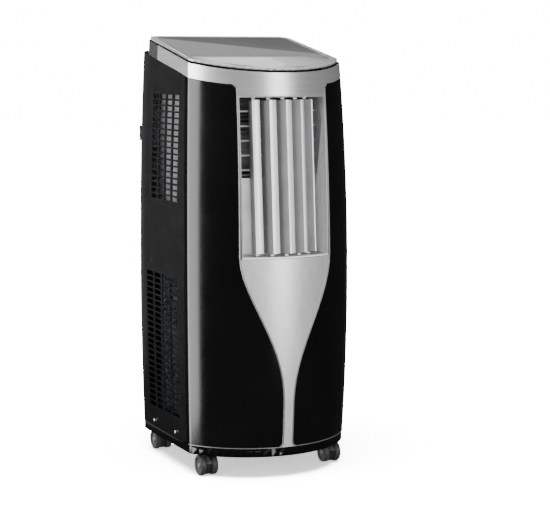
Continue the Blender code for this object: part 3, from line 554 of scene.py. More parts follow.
def insert_half(z):
    """Half the width of the glass-shaped insert: a stem, a bowl and the outlet above it."""
    if z >= BOWL_TOP:
        return BOWL_HALF - OPENING_TAPER * (z - BOWL_TOP)
    share = max(0.0, (z - STEM_TOP) / (BOWL_TOP - STEM_TOP)) ** BOWL_POWER
    return STEM_HALF + (BOWL_HALF - STEM_HALF) * share * share * (3 - 2 * share)


def panel_top():
    """Height of a front panel's top beside the outlet."""
    return band_bottom(front_at(BOWL_HALF, OUTLET_TOP).y)


def panel_edge(z):
    """Half the insert's width, with the front panels' rounded inner corners."""
    low = min(1.0, max(0.0, (z - BASE_TOP) / PANEL_FILLET))
    high = min(1.0, max(0.0, (panel_top() - z) / PANEL_FILLET))
    rounding = sum(1 - math.sqrt(1 - (1 - share) ** 2) for share in (low, high))
    return insert_half(z) + PANEL_FILLET * rounding


SEAM_Y = corner_point(math.pi / 2)[1] + SEAM_BEHIND_CORNER


# Pieces


def vane_frame(index):
    """The matrix of a vane's own frame at rest: nose towards -Y, pivot on Z."""
    facing = (index - (VANE_COUNT - 1) / 2) * VANE_STEP
    low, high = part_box(f"vane_{index + 1}")
    x = VANE_ARC_RADIUS * math.sin(facing)
    y = VANE_ARC_Y - VANE_ARC_RADIUS * math.cos(facing)
    middle = Vector((x, y, (low[2] + high[2]) / 2))
    lean = Matrix.Rotation(-VANE_LEAN, 4, "X")
    return Matrix.Translation(middle) @ lean @ Matrix.Rotation(facing + VANE_TURN, 4, "Z")


def add_prism(shape, outline, low, high, matrix):
    """A closed outline, drawn out along Z."""
    bottom = [shape.verts.new(matrix @ Vector((x, y, low))) for x, y in outline]
    top = [shape.verts.new(matrix @ Vector((x, y, high))) for x, y in outline]
    count = len(outline)
    for index in range(count):
        after = (index + 1) % count
        shape.faces.new((bottom[index], bottom[after], top[after], top[index]))
    shape.faces.new(bottom[::-1])
    shape.faces.new(top)


def build_vanes(settings):
    """Thick blades with a bright nose and two pins, in place of the plain vanes."""
    half = settings.vane_length / 2
    nose = settings.nose_width / 2
    cap = NOSE_CAP - VANE_NOSE
    for index in range(VANE_COUNT):
        matrix = vane_frame(index)
        node = f"vane_{index + 1}"
        blade = bmesh.new()
        left = [(-VANE_TAIL_HALF, settings.vane_tail), (-VANE_WAIST_HALF, 0), (-nose + 0.0003, cap + 0.0001)]
        outline = left + [(-x, y) for x, y in reversed(left)]
        add_prism(blade, outline, -half, half, matrix)
        for end in (-1, 1):
            low, high = sorted((end * (half - 0.0005), end * (half + PIN_LENGTH)))
            add_disc(blade, [(PIN_RADIUS, low), (PIN_RADIUS, high)], matrix, 12)
        # The blade's flanks get a dark grey: painted shade standing in for the shade the flanks sit in beside
        # the bright nose.
        add_piece(node + "_blade", blade, "vane_flank_shade", node, [node], 30)
        strip = bmesh.new()
        left = [(-nose, cap), (-nose, NOSE_EDGE - VANE_NOSE), (-nose + NOSE_EDGE, -VANE_NOSE)]
        outline = left + [(-x, y) for x, y in reversed(left)]
        add_prism(strip, outline, -half, half, matrix)
        add_piece(node + "_nose", strip, "vane_nose", node, angle=50)


def build_pivots(settings):
    """Small round sockets above and below each vane, on the outlet frame."""
    shape = bmesh.new()
    for index in range(VANE_COUNT):
        matrix = vane_frame(index)
        half = settings.vane_length / 2
        for end in (-1, 1):
            low, high = sorted((end * (half + SOCKET_NEAR), end * (half + SOCKET_FAR)))
            bore, rim = PIN_RADIUS + 0.0003, SOCKET_RADIUS - 0.0004
            profile = [
                (bore, low), (rim, low), (SOCKET_RADIUS, low + 0.0004), (SOCKET_RADIUS, high), (bore, high),
            ]
            add_turned(shape, profile, matrix, 20)
    add_piece("vane_sockets", shape, "slat_white", "cabinet", angle=35)


def build_slats(settings):
    """Thin aerofoil slats in place of the plain ones, with a small pin at each end."""
    for number in range(1, SLAT_COUNT + 1):
        node = f"slat_{number}"
        low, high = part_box(node)
        y, z = (low[1] + high[1]) / 2, (low[2] + high[2]) / 2
        chord, thick = (high[1] - low[1]) / 2, settings.slat_thickness / 2
        outline = []
        steps = 20
        for step in range(steps):
            angle = 2 * math.pi * step / steps
            outline.append((chord * math.cos(angle), thick * math.sin(angle)))
        matrix = Matrix(((0, 0, 1, 0), (1, 0, 0, y), (0, 1, 0, z), (0, 0, 0, 1)))
        shape = bmesh.new()
        add_prism(shape, outline, low[0], high[0], matrix)
        add_piece(node + "_blade", shape, "slat_white", node, [node], 60)


def build_beads(settings):
    """The thin grey beads along the front panels' inner edges and along the top of the base."""
    radius = settings.bead / 2
    for side_name, side in SIDES:
        shape = bmesh.new()
        heights = [BASE_TOP + 0.0006 + PANEL_FILLET * share for share in (0, 0.15, 0.4, 0.7, 1)]
        heights += [0.08 + 0.02 * step for step in range(int((panel_top() - 0.1) / 0.02))]
        heights += [panel_top() - 0.0008 - PANEL_FILLET * share for share in (1, 0.7, 0.4, 0.2, 0.08, 0.02)]
        path = [front_at(side * (panel_edge(z) - radius * 0.3), z, -radius * 0.25) for z in heights]
        add_tube(shape, path, radius, 8)
        add_piece(f"edge_bead_{side_name}", shape, "bead_grey", "cabinet", angle=60)
    shape = bmesh.new()
    last = corner_angle()
    z = BASE_TOP + 0.0004
    for _, side in SIDES:
        arc = []
        start = math.asin(panel_edge(z + 0.004) / swell(z) / FRONT_RADIUS)
        for step in range(25):
            angle = start + (last - start) * step / 24
            arc.append(on_cabinet(*front_point(angle), z))
        for step in range(1, 7):
            angle = last + (math.pi / 2 - last) * step / 6
            arc.append(on_cabinet(*corner_point(angle), z))
        path = [Vector((side * point.x, point.y, point.z)) for point in arc]
        add_tube(shape, path, BASE_BEAD_RADIUS, 8)
    add_piece("base_bead", shape, "bead_dark", "cabinet", angle=60)


def build_lip(settings):
    """The bright rounded lip along the bottom of the outlet."""
    shape = bmesh.new()
    z = OUTLET_BOTTOM - 0.0006
    path = [front_at(OUTLET_HALF * (step / 16 - 1), z, -0.0012) for step in range(33)]
    add_tube(shape, path, LIP_RADIUS, 10)
    add_piece("outlet_lip", shape, "vane_nose", "cabinet", angle=60)


def shell_piece(name, columns, finish, replaced, skipped=(), rounded=True):
    """A shell from columns of outer points that run upwards, left to right from outside.

    The skipped cells, as (column, row), stay open.
    """
    shape = bmesh.new()
    verts = [[shape.verts.new(point) for point in column] for column in columns]
    for i in range(len(verts) - 1):
        for j in range(len(verts[0]) - 1):
            if (i, j) not in skipped:
                shape.faces.new((verts[i][j], verts[i + 1][j], verts[i + 1][j + 1], verts[i][j + 1]))
    data = bpy.data.meshes.new(name)
    shape.to_mesh(data)
    shape.free()
    piece = bpy.data.objects.new(name, data)
    bpy.context.scene.collection.objects.link(piece)
    data.materials.append(FINISHES[finish])
    solidify = piece.modifiers.new("Wall", "SOLIDIFY")
    solidify.thickness = WALL
    solidify.offset = -1
    solidify.use_even_offset = True
    graph = bpy.context.evaluated_depsgraph_get()
    whole = bpy.data.meshes.new_from_object(piece.evaluated_get(graph))
    piece.modifiers.clear()
    piece.data = whole
    bpy.data.meshes.remove(data)
    whole.name = name
    smooth(piece, 40)
    if rounded:
        bevel = piece.modifiers.new("Edges", "BEVEL")
        bevel.width = 0.0004
        bevel.segments = 2
        bevel.limit_method = "ANGLE"
        bevel.angle_limit = math.radians(50)
        piece.modifiers.new("Normals", "WEIGHTED_NORMAL").weight = 100
    settle(piece, "cabinet", replaced)
    return piece


def mirrored(columns, side):
    """Columns of the right-hand side, or their mirror image, running left to right from outside."""
    if side > 0:
        return columns
    return [[Vector((-point[0], point[1], point[2])) for point in column] for column in reversed(columns)]


def panel_levels():
    """Heights of the front shells' rows, close together at the rounded corners."""
    top = panel_top() - GAP
    turns = [math.pi / 2 * step / 7 for step in range(8)]
    low = [BASE_TOP + PANEL_FILLET * (1 - math.cos(turn)) for turn in turns]
    high = [top - PANEL_FILLET * (1 - math.cos(turn)) for turn in reversed(turns)]
    count = 60
    return low + [low[-1] + (high[0] - low[-1]) * step / count for step in range(1, count)] + high


def build_front_panels(settings):
    """The gloss panels each side of the insert, out to the seam behind the front corner."""
    top = panel_top() - GAP
    levels = panel_levels()
    for side_name, side in SIDES:
        columns = []
        for step in range(41):
            column = []
            for level in levels:
                inner = math.asin((panel_edge(level) + GAP) / swell(level) / FRONT_RADIUS)
                point = front_point(inner + (corner_angle() - inner) * step / 40)
                column.append(raised_point(point, level, top))
            columns.append(column)
        for step in range(1, 13):
            turn = corner_angle() + (math.pi / 2 - corner_angle()) * step / 12
            columns.append([raised_point(corner_point(turn), level, top) for level in levels])
        columns.append([raised_point((HALF_WIDTH, SEAM_Y), level, top) for level in levels])
        name = f"front_panel_{side_name}"
        shell_piece(name + "_skin", mirrored(columns, side), "lacquer", [name])


def raised_point(point, level, top):
    """A plan point at a level, stretched so that the top level meets the sloped band."""
    end = band_bottom(point[1]) - GAP
    return on_cabinet(*point, BASE_TOP + (level - BASE_TOP) * (end - BASE_TOP) / (top - BASE_TOP))


def build_insert(settings):
    """The silver glass-shaped insert."""
    end = OUTLET_BOTTOM - OUTLET_MARGIN
    levels = [level for level in panel_levels() if level < end - 0.002] + [end]
    columns = []
    for step in range(33):
        share = step / 16 - 1
        columns.append([front_at((panel_edge(level) - GAP) * share, level) for level in levels])
    shell_piece("front_insert_skin", columns, "silver_front", ["front_insert"])


def build_band(settings):
    """The silver band round the top."""
    edge = insert_half(OUTLET_TOP)
    turns = []
    for step in range(13):
        turn = math.asin(edge * step / 12 / swell(OUTLET_TOP) / FRONT_RADIUS)
        turns.append((turn, OUTLET_TOP + OUTLET_MARGIN))
    for share in (0.03, 0.1, 0.2, 0.35, 0.5, 0.7, 1):
        x = edge + PANEL_FILLET * share
        drop = PANEL_FILLET * (1 - math.sqrt(1 - (1 - share) ** 2))
        low = band_bottom(front_at(x, OUTLET_TOP).y) - drop
        turns.append((math.asin(x / swell(OUTLET_TOP) / FRONT_RADIUS), low))
    last = turns[-1][0]
    turns += [(last + (corner_angle() - last) * step / 14, None) for step in range(1, 15)]
    plan = [(front_point(turn), low) for turn, low in turns]
    for step in range(1, 11):
        turn = corner_angle() + (math.pi / 2 - corner_angle()) * step / 10
        plan.append((corner_point(turn), None))
    plan += [((HALF_WIDTH, y), None) for y in (BAND_END_Y - 0.078, BAND_END_Y - 0.04, BAND_END_Y)]
    columns = []
    for point, low in plan:
        low = low or band_bottom(point[1])
        high = LID_Z + LID_SLOPE * point[1] - LID_GAP
        columns.append([on_cabinet(*point, low + (high - low) * share / 6) for share in range(7)])
    whole = mirrored(columns, -1)[:-1] + columns
    shell_piece("silver_band", whole, "silver_band", ["silver_collar"])


def build_rear_collar(settings):
    """The black stretch of the rim behind the silver band."""
    plan = [(HALF_WIDTH, BAND_END_Y + GAP)]
    for step in range(11):
        turn = math.pi / 2 * step / 10
        x = HALF_WIDTH - LID_REAR_RADIUS * (1 - math.cos(turn))
        plan.append((x, LID_REAR_Y - LID_REAR_RADIUS * (1 - math.sin(turn))))
    columns = []
    for point in plan:
        low, high = band_bottom(point[1]), LID_Z + LID_SLOPE * point[1] - LID_GAP
        columns.append([on_cabinet(*point, height) for height in (low, (low + high) / 2, high)])
    whole = columns + mirrored(columns, -1)
    shell_piece("rear_collar_skin", whole, "satin_plastic", ["rear_collar"])


def grille_lines(front, rear, post):
    """Front and rear edges of each column of openings in a grille, with posts between them."""
    wide = (rear - front + post) / GRILLE_COLUMNS
    return [(front + wide * i, front + wide * (i + 1) - post) for i in range(GRILLE_COLUMNS)]


def build_side_panels(settings):
    """The side panels, with every small opening of the two grilles."""
    bar = settings.grille_bar
    front = SEAM_Y + GRILLE_FRONT
    pairs_of = {
        rear: [tuple(round(y, 6) for y in pair) for pair in grille_lines(front, rear, settings.grille_post)]
        for rear, _, _ in GRILLES
    }
    lines = sorted({y for pairs in pairs_of.values() for pair in pairs for y in pair})
    heights = {BASE_TOP}
    openings = []
    for rear, bottom, rows in GRILLES:
        pairs = pairs_of[rear]
        for row in range(rows):
            low, high = bottom + ROW_PITCH * row, bottom + ROW_PITCH * (row + 1) - bar
            heights |= {low, high}
            openings += [(near, far, low, high) for near, far in pairs]
    top_fixed = max(heights)
    heights = sorted(heights) + [top_fixed + 0.01, top_fixed + 0.02]
    steps = 3
    ys = [None] + lines + [REAR_Y - REAR_RADIUS]
    for side_name, side in SIDES:
        columns = []
        for y in ys:
            columns.append(side_column(heights, steps, y))
        for step in range(1, 9):
            turn = math.pi / 2 * step / 8
            x = HALF_WIDTH - REAR_RADIUS * (1 - math.cos(turn))
            columns.append(side_column(heights, steps, REAR_Y - REAR_RADIUS * (1 - math.sin(turn)), x))
        columns.append([Vector((REAR_PANEL_HALF + GAP, REAR_Y, point[2])) for point in columns[-1]])
        skipped = set()
        for near, far, low, high in openings:
            rows = [j for j, z in enumerate(heights[:-1]) if low - 1e-6 <= z < high - 1e-6]
            for i in range(1, len(ys) - 1):
                if near - 1e-6 <= ys[i] < far - 1e-6:
                    skipped |= {(i, j) for j in rows}
        if side < 0:
            last = len(columns) - 2
            skipped = {(last - i, j) for i, j in skipped}
        name = f"side_panel_{side_name}"
        whole = mirrored(columns, side)
        shell_piece(name + "_skin", whole, "side_black", [name], skipped, False)


def side_column(heights, steps, y, x=HALF_WIDTH):
    """A column of a side panel at a true y, or at the seam when y is None."""
    plan_y = SEAM_Y + GAP if y is None else y
    end = band_bottom(plan_y) - GAP
    last = heights[-1]
    levels = heights + [last + (end - last) * step / steps for step in range(1, steps + 1)]
    if y is None or x != HALF_WIDTH:
        return [on_cabinet(x, plan_y, z) for z in levels]
    return [Vector((x * swell(z), y, z)) for z in levels]


def smooth_copy(name, finish, body, angle=32):
    """A merged, smoothly shaded copy of a CAD node, in its place."""
    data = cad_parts[name].data.copy()
    data.name = name + "_finished"
    shape = bmesh.new()
    shape.from_mesh(data)
    bmesh.ops.remove_doubles(shape, verts=shape.verts, dist=0.00001)
    shape.to_mesh(data)
    shape.free()
    data.transform(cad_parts[name].matrix_world)
    data.materials.clear()
    data.materials.append(FINISHES[finish])
    piece = bpy.data.objects.new(name + "_finished", data)
    bpy.context.scene.collection.objects.link(piece)
    smooth(piece, angle)
    settle(piece, body, [name])


def fins_tree(material, count, pitch, width, height, thickness):
    """A row of thin upright fins along Y."""
    nodes = NodeTree("Coil fins")
    step = nodes.add("ShaderNodeCombineXYZ", {"Y": nodes.value("Pitch", pitch)})
    points = row_of(nodes, nodes.value("Fins", count, "NodeSocketInt"), step.outputs[0])
    size = nodes.add("ShaderNodeCombineXYZ", {
        "X": nodes.value("Width", width),
        "Y": nodes.value("Thickness", thickness),
        "Z": nodes.value("Height", height),
    })
    fin = nodes.add("GeometryNodeMeshCube", {"Size": size.outputs[0]})
    nodes.finish(instances(nodes, points, fin.outputs["Mesh"]), material)
    return nodes


def build_fins(settings):
    """Real fins on the outer faces of the condenser, seen through the lower grilles."""
    low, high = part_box("condenser_coil")
    pitch = settings.fin_pitch
    count = int((high[1] - low[1]) / pitch)
    tall = high[2] - low[2] - 2 * FIN_END
    for side_name, side in SIDES:
        tree = fins_tree(FINISHES["fin_metal"], count, pitch, FIN_WIDTH, tall, FIN_THICKNESS)
        x = side * (high[0] + FIN_CLEARANCE + FIN_WIDTH / 2)
        place = Matrix.Translation((x, low[1] + pitch / 2, (low[2] + high[2]) / 2))
        piece = tree.to_piece(f"condenser_fins_{side_name}", place)
        settle(piece, "cabinet")


def build_screws(settings):
    """Pan-head screws with a cross recess, in place of the plain heads on the side panels."""
    for side_name, side in SIDES:
        for number in (1, 2):
            node = f"side_screw_{side_name}_{number}"
            low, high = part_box(node)
            centre = [(a + b) / 2 for a, b in zip(low, high)]
            radius = (high[2] - low[2]) / 2
            base = low[0] if side > 0 else high[0]
            matrix = turned_to((side, 0, 0), (base, centre[1], centre[2]))
            shape = bmesh.new()
            tall = high[0] - low[0]
            profile = [
                (radius * 0.98, 0), (radius, tall * 0.25), (radius * 0.93, tall * 0.7),
                (radius * 0.72, tall), (radius * 0.34, tall),
            ]
            add_disc(shape, profile, matrix, 28)
            add_piece(node + "_head", shape, "screw_steel", "cabinet", [node], 40)
            # The recess is a thin black cross laid on the head: painted shade, not a hollow.
            cross = bmesh.new()
            for turn in (0, math.pi / 2):
                spin = matrix @ Matrix.Rotation(turn + SCREW_TURN, 4, "Z")
                reach, half = radius * 0.6, radius * 0.13
                add_box(cross, (-reach, -half, tall - 0.0001), (reach, half, tall + 0.00005), spin)
            add_piece(node + "_recess_painted_shade", cross, "grille_black", "cabinet")


def wheel_profile(radius, half):
    """A caster wheel's section from the bore out and back: hub, dished web, rounded tread."""
    face = [
        (0.0031, half * 0.62), (0.0058, half * 0.70), (0.0066, half * 0.52), (radius * 0.66, half * 0.52),
        (radius * 0.72, half * 0.92), (radius * 0.80, half), (radius * 0.93, half),
        (radius * 0.985, half * 0.74), (radius, half * 0.35),
    ]
    return [(r, -h) for r, h in face] + face[::-1]


def build_casters(settings):
    """Twin wheels with rounded treads and dished faces on a shared axle."""
    for corner in CORNERS:
        node = f"caster_wheels_{corner}"
        low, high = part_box(node)
        centre = Vector([(a + b) / 2 for a, b in zip(low, high)])
        radius = (high[2] - low[2]) / 2
        half = settings.wheel_width / 2
        tread = bmesh.new()
        for end in (-1, 1):
            x = high[0] - half if end > 0 else low[0] + half
            matrix = turned_to((1, 0, 0), (x, centre.y, centre.z))
            add_turned(tread, wheel_profile(radius, half), matrix, 48)
        add_piece(f"caster_tread_{corner}", tread, "wheel_black", node, [node], 40)
        hub = bmesh.new()
        reach = (high[0] - low[0]) / 2
        end = [(0.0010, reach * 0.97), (0.0034, reach * 0.97), (0.0044, reach * 0.90), (0.0029, reach * 0.80)]
        profile = [(r, -h) for r, h in end] + end[::-1]
        add_disc(hub, profile, turned_to((1, 0, 0), centre), 24)
        add_piece(f"caster_axle_{corner}", hub, "hub_grey", node, angle=40)


def fan_tree(material, blades, radius, chord, width, lean, thickness):
    """Leaning blades set round a circle, as a blower wheel has."""
    nodes = NodeTree("Blower blades")
    count = nodes.value("Blades", blades, "NodeSocketInt")
    ring = nodes.add("GeometryNodeMeshCircle", {"Vertices": count, "Radius": nodes.value("Radius", radius)})
    place = nodes.add("GeometryNodeInputPosition")
    align = nodes.add("FunctionNodeAlignRotationToVector", {"Vector": place.outputs[0]}, axis="X")
    leaned = nodes.add("FunctionNodeRotateRotation", {
        "Rotation": align.outputs[0], "Rotate By": (0, 0, lean),
    }, rotation_space="LOCAL")
    size = nodes.add("ShaderNodeCombineXYZ", {
        "X": nodes.value("Chord", chord),
        "Y": nodes.value("Thickness", thickness),
        "Z": nodes.value("Width", width),
    })
    blade = nodes.add("GeometryNodeMeshCube", {"Size": size.outputs[0]})
    nodes.finish(instances(nodes, ring.outputs[0], blade.outputs["Mesh"], leaned.outputs[0]), material)
    return nodes


def build_fans(settings):
    """Bladed wheels in place of the plain drums of the blower and the condenser fan."""
    wheels = (("blower_wheel", (1, 0, 0), 0, 40), ("condenser_fan", (0, 1, 0), 1, 32))
    for node, axis, along, blades in wheels:
        low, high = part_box(node)
        centre = Vector([(a + b) / 2 for a, b in zip(low, high)])
        half = (high[along] - low[along]) / 2
        radius = (high[2] - low[2]) / 2
        matrix = turned_to(axis, centre)
        plastic = FINISHES["duct_plastic"]
        middle, chord, width = radius - BLADE_CHORD / 2 - 0.0012, BLADE_CHORD * 0.9, half * 2 - 0.003
        tree = fan_tree(plastic, blades, middle, chord, width, BLADE_LEAN, BLADE_THICKNESS)
        piece = tree.to_piece(f"{node}_blades", matrix)
        settle(piece, node)
        shape = bmesh.new()
        for end in (-1, 1):
            level = end * (half - 0.001)
            low, high, inner = level - 0.001, level + 0.001, radius - BLADE_CHORD
            add_turned(shape, [(inner, low), (radius, low), (radius, high), (inner, high)], matrix, 64)
        bore, boss, rim = 0.0030, 0.012, radius - 0.004
        disc = [(bore, -0.001), (rim, -0.001), (rim, 0.001), (boss, 0.001), (boss, 0.010), (bore, 0.010)]
        add_turned(shape, disc, matrix, 64)
        add_piece(f"{node}_disc", shape, "duct_plastic", node, [node], 40)


def lid_point(x, y, proud=0.0):
    """A point on the lid's sloped top."""
    return Vector((x, y, LID_Z + LID_SLOPE * y + LID_RISE + proud))


def build_touch_marks(settings):
    """Plain touch marks on the front glass, and the fine line between the two panes."""
    slope = math.atan(LID_SLOPE)
    shape = bmesh.new()
    for index in range(7):
        x = (index - 3) * 0.026
        matrix = Matrix.Translation(lid_point(x, -0.112, 0.00003)) @ Matrix.Rotation(slope, 4, "X")
        outer = 0.0026 if index != 3 else 0.0036
        profile = [(outer - 0.0004, -0.00002), (outer, -0.00002), (outer, 0.00002), (outer - 0.0004, 0.00002)]
        add_turned(shape, profile, matrix, 24)
    add_piece("touch_marks", shape, "mark_grey", "cabinet")
    low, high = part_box("display_glass")
    shape = bmesh.new()
    start, end = lid_point(low[0] + 0.002, low[1], 0.00003), lid_point(high[0] - 0.002, low[1], 0.00003)
    add_tube(shape, [start, end], 0.00035, 8, flatten=0.3)
    add_piece("glass_line", shape, "grille_black", "cabinet")


def build_exhaust(settings):
    """A ribbed exhaust collar in place of the plain ring."""
    low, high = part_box("exhaust_collar")
    centre = Vector([(a + b) / 2 for a, b in zip(low, high)])
    radius = (high[0] - low[0]) / 2
    inner = radius - 0.007
    start, reach = low[1], high[1] - low[1]
    matrix = turned_to((0, 1, 0), (centre.x, start, centre.z))
    waist, rib = radius - 0.0022, radius - 0.0010
    profile = [
        (inner, 0), (radius, 0), (radius, 0.0030), (waist, 0.0036), (waist, reach * 0.55),
        (rib, reach * 0.60), (rib, reach * 0.72), (waist, reach * 0.77),
        (waist, reach - 0.0006), (radius - 0.0030, reach), (inner + 0.0008, reach), (inner, reach - 0.0008),
    ]
    shape = bmesh.new()
    add_turned(shape, profile, matrix, 96)
    add_piece("exhaust_ring", shape, "satin_plastic", "cabinet", ["exhaust_collar"], 40)


def build_filter_grips(settings):
    """A pull bar behind each air filter, which covers its slot in the rear panel."""
    for side_name, _ in SIDES:
        name = f"air_filter_{side_name}"
        low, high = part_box(name)
        shape = bmesh.new()
        near = (low[0] - GRIP_LAP, REAR_Y + GAP, low[2] - GRIP_LAP)
        add_box(shape, near, (high[0] + GRIP_LAP, REAR_Y + GRIP_DEPTH, high[2] + GRIP_LAP))
        add_box(shape, (low[0], high[1] - GRIP_LAP, low[2]), (high[0], REAR_Y + GRIP_DEPTH / 2, high[2]))
        add_piece(name + "_grip", shape, "satin_plastic", name)


COPIED_NODES = (
    ("lacquer", "satin_black", "base_pan"),
    ("satin_plastic", "satin_black", "rear_panel rear_shoulder electrical_box"),
    ("satin_plastic", "satin_black", "cord_hook_left cord_hook_right cord_gland drain_plug"),
    ("outlet_silver", "silver", "outlet_frame"),
    ("duct_plastic", "duct_grey", "outlet_duct blower_housing fan_housing water_tray"),
    ("wall_grey", "duct_grey", "inner_wall"),
    ("bezel", "bezel_grey", "top_cover"),
    ("control_glass", "smoked_glass", "display_glass touch_strip"),
    ("board", "board_green", "display_board"),
    ("coil_metal", "fin_aluminium", "condenser_coil evaporator_coil"),
    ("copper", "copper", "discharge_pipe suction_pipe"),
    ("motor_steel", "steel", "blower_motor fan_motor"),
    ("tank_black", "satin_black", "compressor accumulator"),
)


def build_copies(settings):
    """The CAD parts whose shape stays, merged and smoothly shaded, each with its finish."""
    for finish, slot, names in COPIED_NODES:
        for name in names.split():
            smooth_copy(name, finish, "cabinet")
    for side_name, _ in SIDES:
        name = f"air_filter_{side_name}"
        smooth_copy(name, "filter", name)
    for corner in CORNERS:
        name = f"caster_fork_{corner}"
        smooth_copy(name, "satin_plastic", name)
    left = sorted(name for name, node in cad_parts.items() if not node.hide_render)
    if left:
        raise RuntimeError(f"these CAD nodes have no finish: {left}")


# Stage


def aim(item, target):
    """Turns a light so that it faces the target."""
    item.rotation_euler = (Vector(target) - item.location).to_track_quat("-Z", "Y").to_euler()


def add_softbox(name, place, target, size, power, mirrored=True, lights=True):
    """An area light that may be left out of reflections or light nothing but reflections."""
    light = bpy.data.lights.new(name, "AREA")
    light.shape = "RECTANGLE"
    light.size, light.size_y = size
    light.energy = power
    item = bpy.data.objects.new(name, light)
    bpy.context.scene.collection.objects.link(item)
    item.location = place
    aim(item, target)
    item.visible_glossy = mirrored
    item.visible_diffuse = lights
    item.visible_camera = False
    return item


def around(azimuth, distance, height):
    """A place round the object: azimuth 0 is in front, 90 to the object's pictured left side."""
    turn = math.radians(azimuth)
    return Vector((-math.sin(turn) * distance, -math.cos(turn) * distance, height))


def add_camera(settings):
    """The camera, in front and to the object's pictured left, looking slightly down."""
    data = bpy.data.cameras.new("Camera")
    data.lens = settings.lens
    data.sensor_width = 36
    camera = bpy.data.objects.new("Camera", data)
    bpy.context.scene.collection.objects.link(camera)
    camera.location = CAMERA_PLACE
    camera.rotation_euler = (math.pi / 2 - CAMERA_TILT, 0, -CAMERA_AZIMUTH)
    bpy.context.scene.camera = camera


def add_floor(settings):
    """A pale floor that brightens away from the object until it meets the backdrop."""
    data = bpy.data.meshes.new("floor")
    floor = bpy.data.objects.new("floor", data)
    shape = bmesh.new()
    bmesh.ops.create_grid(shape, x_segments=2, y_segments=2, size=FLOOR_HALF)
    shape.to_mesh(data)
    shape.free()
    bpy.context.scene.collection.objects.link(floor)
    finish = Finish("Studio floor", settings.floor_colour, 0.9)
    finish.tint(finish.noise(3, 2), [c * 0.995 for c in settings.floor_colour], settings.floor_colour)
    finish.surface.inputs["Emission Color"].default_value = (1, 1, 1, 1)
    reach = finish.add("ShaderNodeVectorMath", operation="LENGTH")
    finish.link(finish.place, reach.inputs[0])
    glow = finish.add("ShaderNodeMapRange")
    glow.inputs["From Min"].default_value = GLOW_START
    glow.inputs["From Max"].default_value = GLOW_END
    glow.inputs["To Min"].default_value = settings.floor_glow
    glow.inputs["To Max"].default_value = settings.sky
    finish.link(reach.outputs["Value"], glow.inputs["Value"])
    finish.link(glow.outputs["Result"], finish.surface.inputs["Emission Strength"])
    data.materials.append(finish.material)
    floor.visible_glossy = False
    floor.visible_diffuse = False
    return floor


def add_world(settings):
    """White all round: bright to the camera, soft as light, and almost dark in reflections."""
    world = bpy.data.worlds.new("Studio")
    bpy.context.scene.world = world
    world.use_nodes = True
    tree = world.node_tree
    tree.nodes.clear()
    end = tree.nodes.new("ShaderNodeOutputWorld")
    path = tree.nodes.new("ShaderNodeLightPath")
    shown = background(tree, settings.sky_fill)
    for ray, strength in (("Is Glossy Ray", settings.sky_reflected), ("Is Camera Ray", settings.sky)):
        mix = tree.nodes.new("ShaderNodeMixShader")
        tree.links.new(path.outputs[ray], mix.inputs[0])
        tree.links.new(shown, mix.inputs[1])
        tree.links.new(background(tree, strength), mix.inputs[2])
        shown = mix.outputs[0]
    tree.links.new(shown, end.inputs[0])


def background(tree, strength):
    """The output of a white background of a given strength."""
    made = tree.nodes.new("ShaderNodeBackground")
    made.inputs["Color"].default_value = (1, 1, 1, 1)
    made.inputs["Strength"].default_value = strength
    return made.outputs[0]


def add_lights(settings, floor):
    """Boxes that show as soft stripes in the gloss, boxes that only light, and one for the floor alone."""
    middle = (0, 0, 0.42)
    stripes = (
        ("Corner box", around(106, 2.6, 0.75), (2.6, 3.2), settings.corner_power),
        ("Side panel box", around(170, 3.4, 0.8), (0.8, 2.6), settings.side_power),
        ("Front strip", around(-14, 3.6, 0.9), (1.3, 2.6), settings.front_power),
    )
    for name, place, size, power in stripes:
        add_softbox(name, place, middle, size, power, lights=False)
    fills = (("Left fill", around(60, 3.6, 1.2)), ("Front fill", around(12, 3.6, 0.7)))
    for name, place in fills:
        add_softbox(name, place, middle, (1.6, 1.6), settings.fill_power, mirrored=False)
    add_softbox("Overhead softbox", (0.2, -0.3, 3.2), (0, 0, 0.3), (3.0, 3.0), settings.top_power)
    place, size = (-0.4, -0.5, 4.0), (3.4, 3.4)
    above = add_softbox("Floor light", place, (0, 0, 0), size, settings.floor_power, mirrored=False)
    only_floor = bpy.data.collections.new("Floor light receivers")
    only_floor.objects.link(floor)
    above.light_linking.receiver_collection = only_floor


def build_stage(settings):
    """The camera, the floor, the backdrop and the lights."""
    add_camera(settings)
    floor = add_floor(settings)
    add_world(settings)
    add_lights(settings, floor)


# The add-on's settings, operators and panel


def length(name, description, default):
    return bpy.props.FloatProperty(
        name=name, description=description, default=default, unit="LENGTH", precision=4
    )


def colour(name, description, default):
    return bpy.props.FloatVectorProperty(
        name=name, description=description, default=default, subtype="COLOR", min=0, max=1
    )


def power(name, description, default):
    return bpy.props.FloatProperty(name=name, description=description, default=default, unit="POWER")


def strength(name, description, default):
    return bpy.props.FloatProperty(name=name, description=description, default=default, min=0)


class AirconSizes(bpy.types.PropertyGroup):
    """Sizes of the pieces."""

    vane_length: length("Vane length", "Length of a vane without its pins", 0.2665)
    nose_width: length("Vane nose", "Width of a vane's bright nose", 0.0135)
    slat_thickness: length("Slat thickness", "Thickness of a slat in the middle", 0.0034)
    vane_tail: length("Vane tail", "How far a vane reaches behind its pivot", 0.0190)
    bead: length("Edge bead", "Width of the grey bead along the front panels", 0.0032)
    grille_bar: length("Grille bar", "Height of a level bar of the side grilles", 0.0031)
    grille_post: length("Grille post", "Width of an upright bar of the side grilles", 0.0070)
    fin_pitch: length("Fin pitch", "Distance between the condenser's fins", 0.0024)
    wheel_width: length("Wheel width", "Width of one caster wheel", 0.0105)


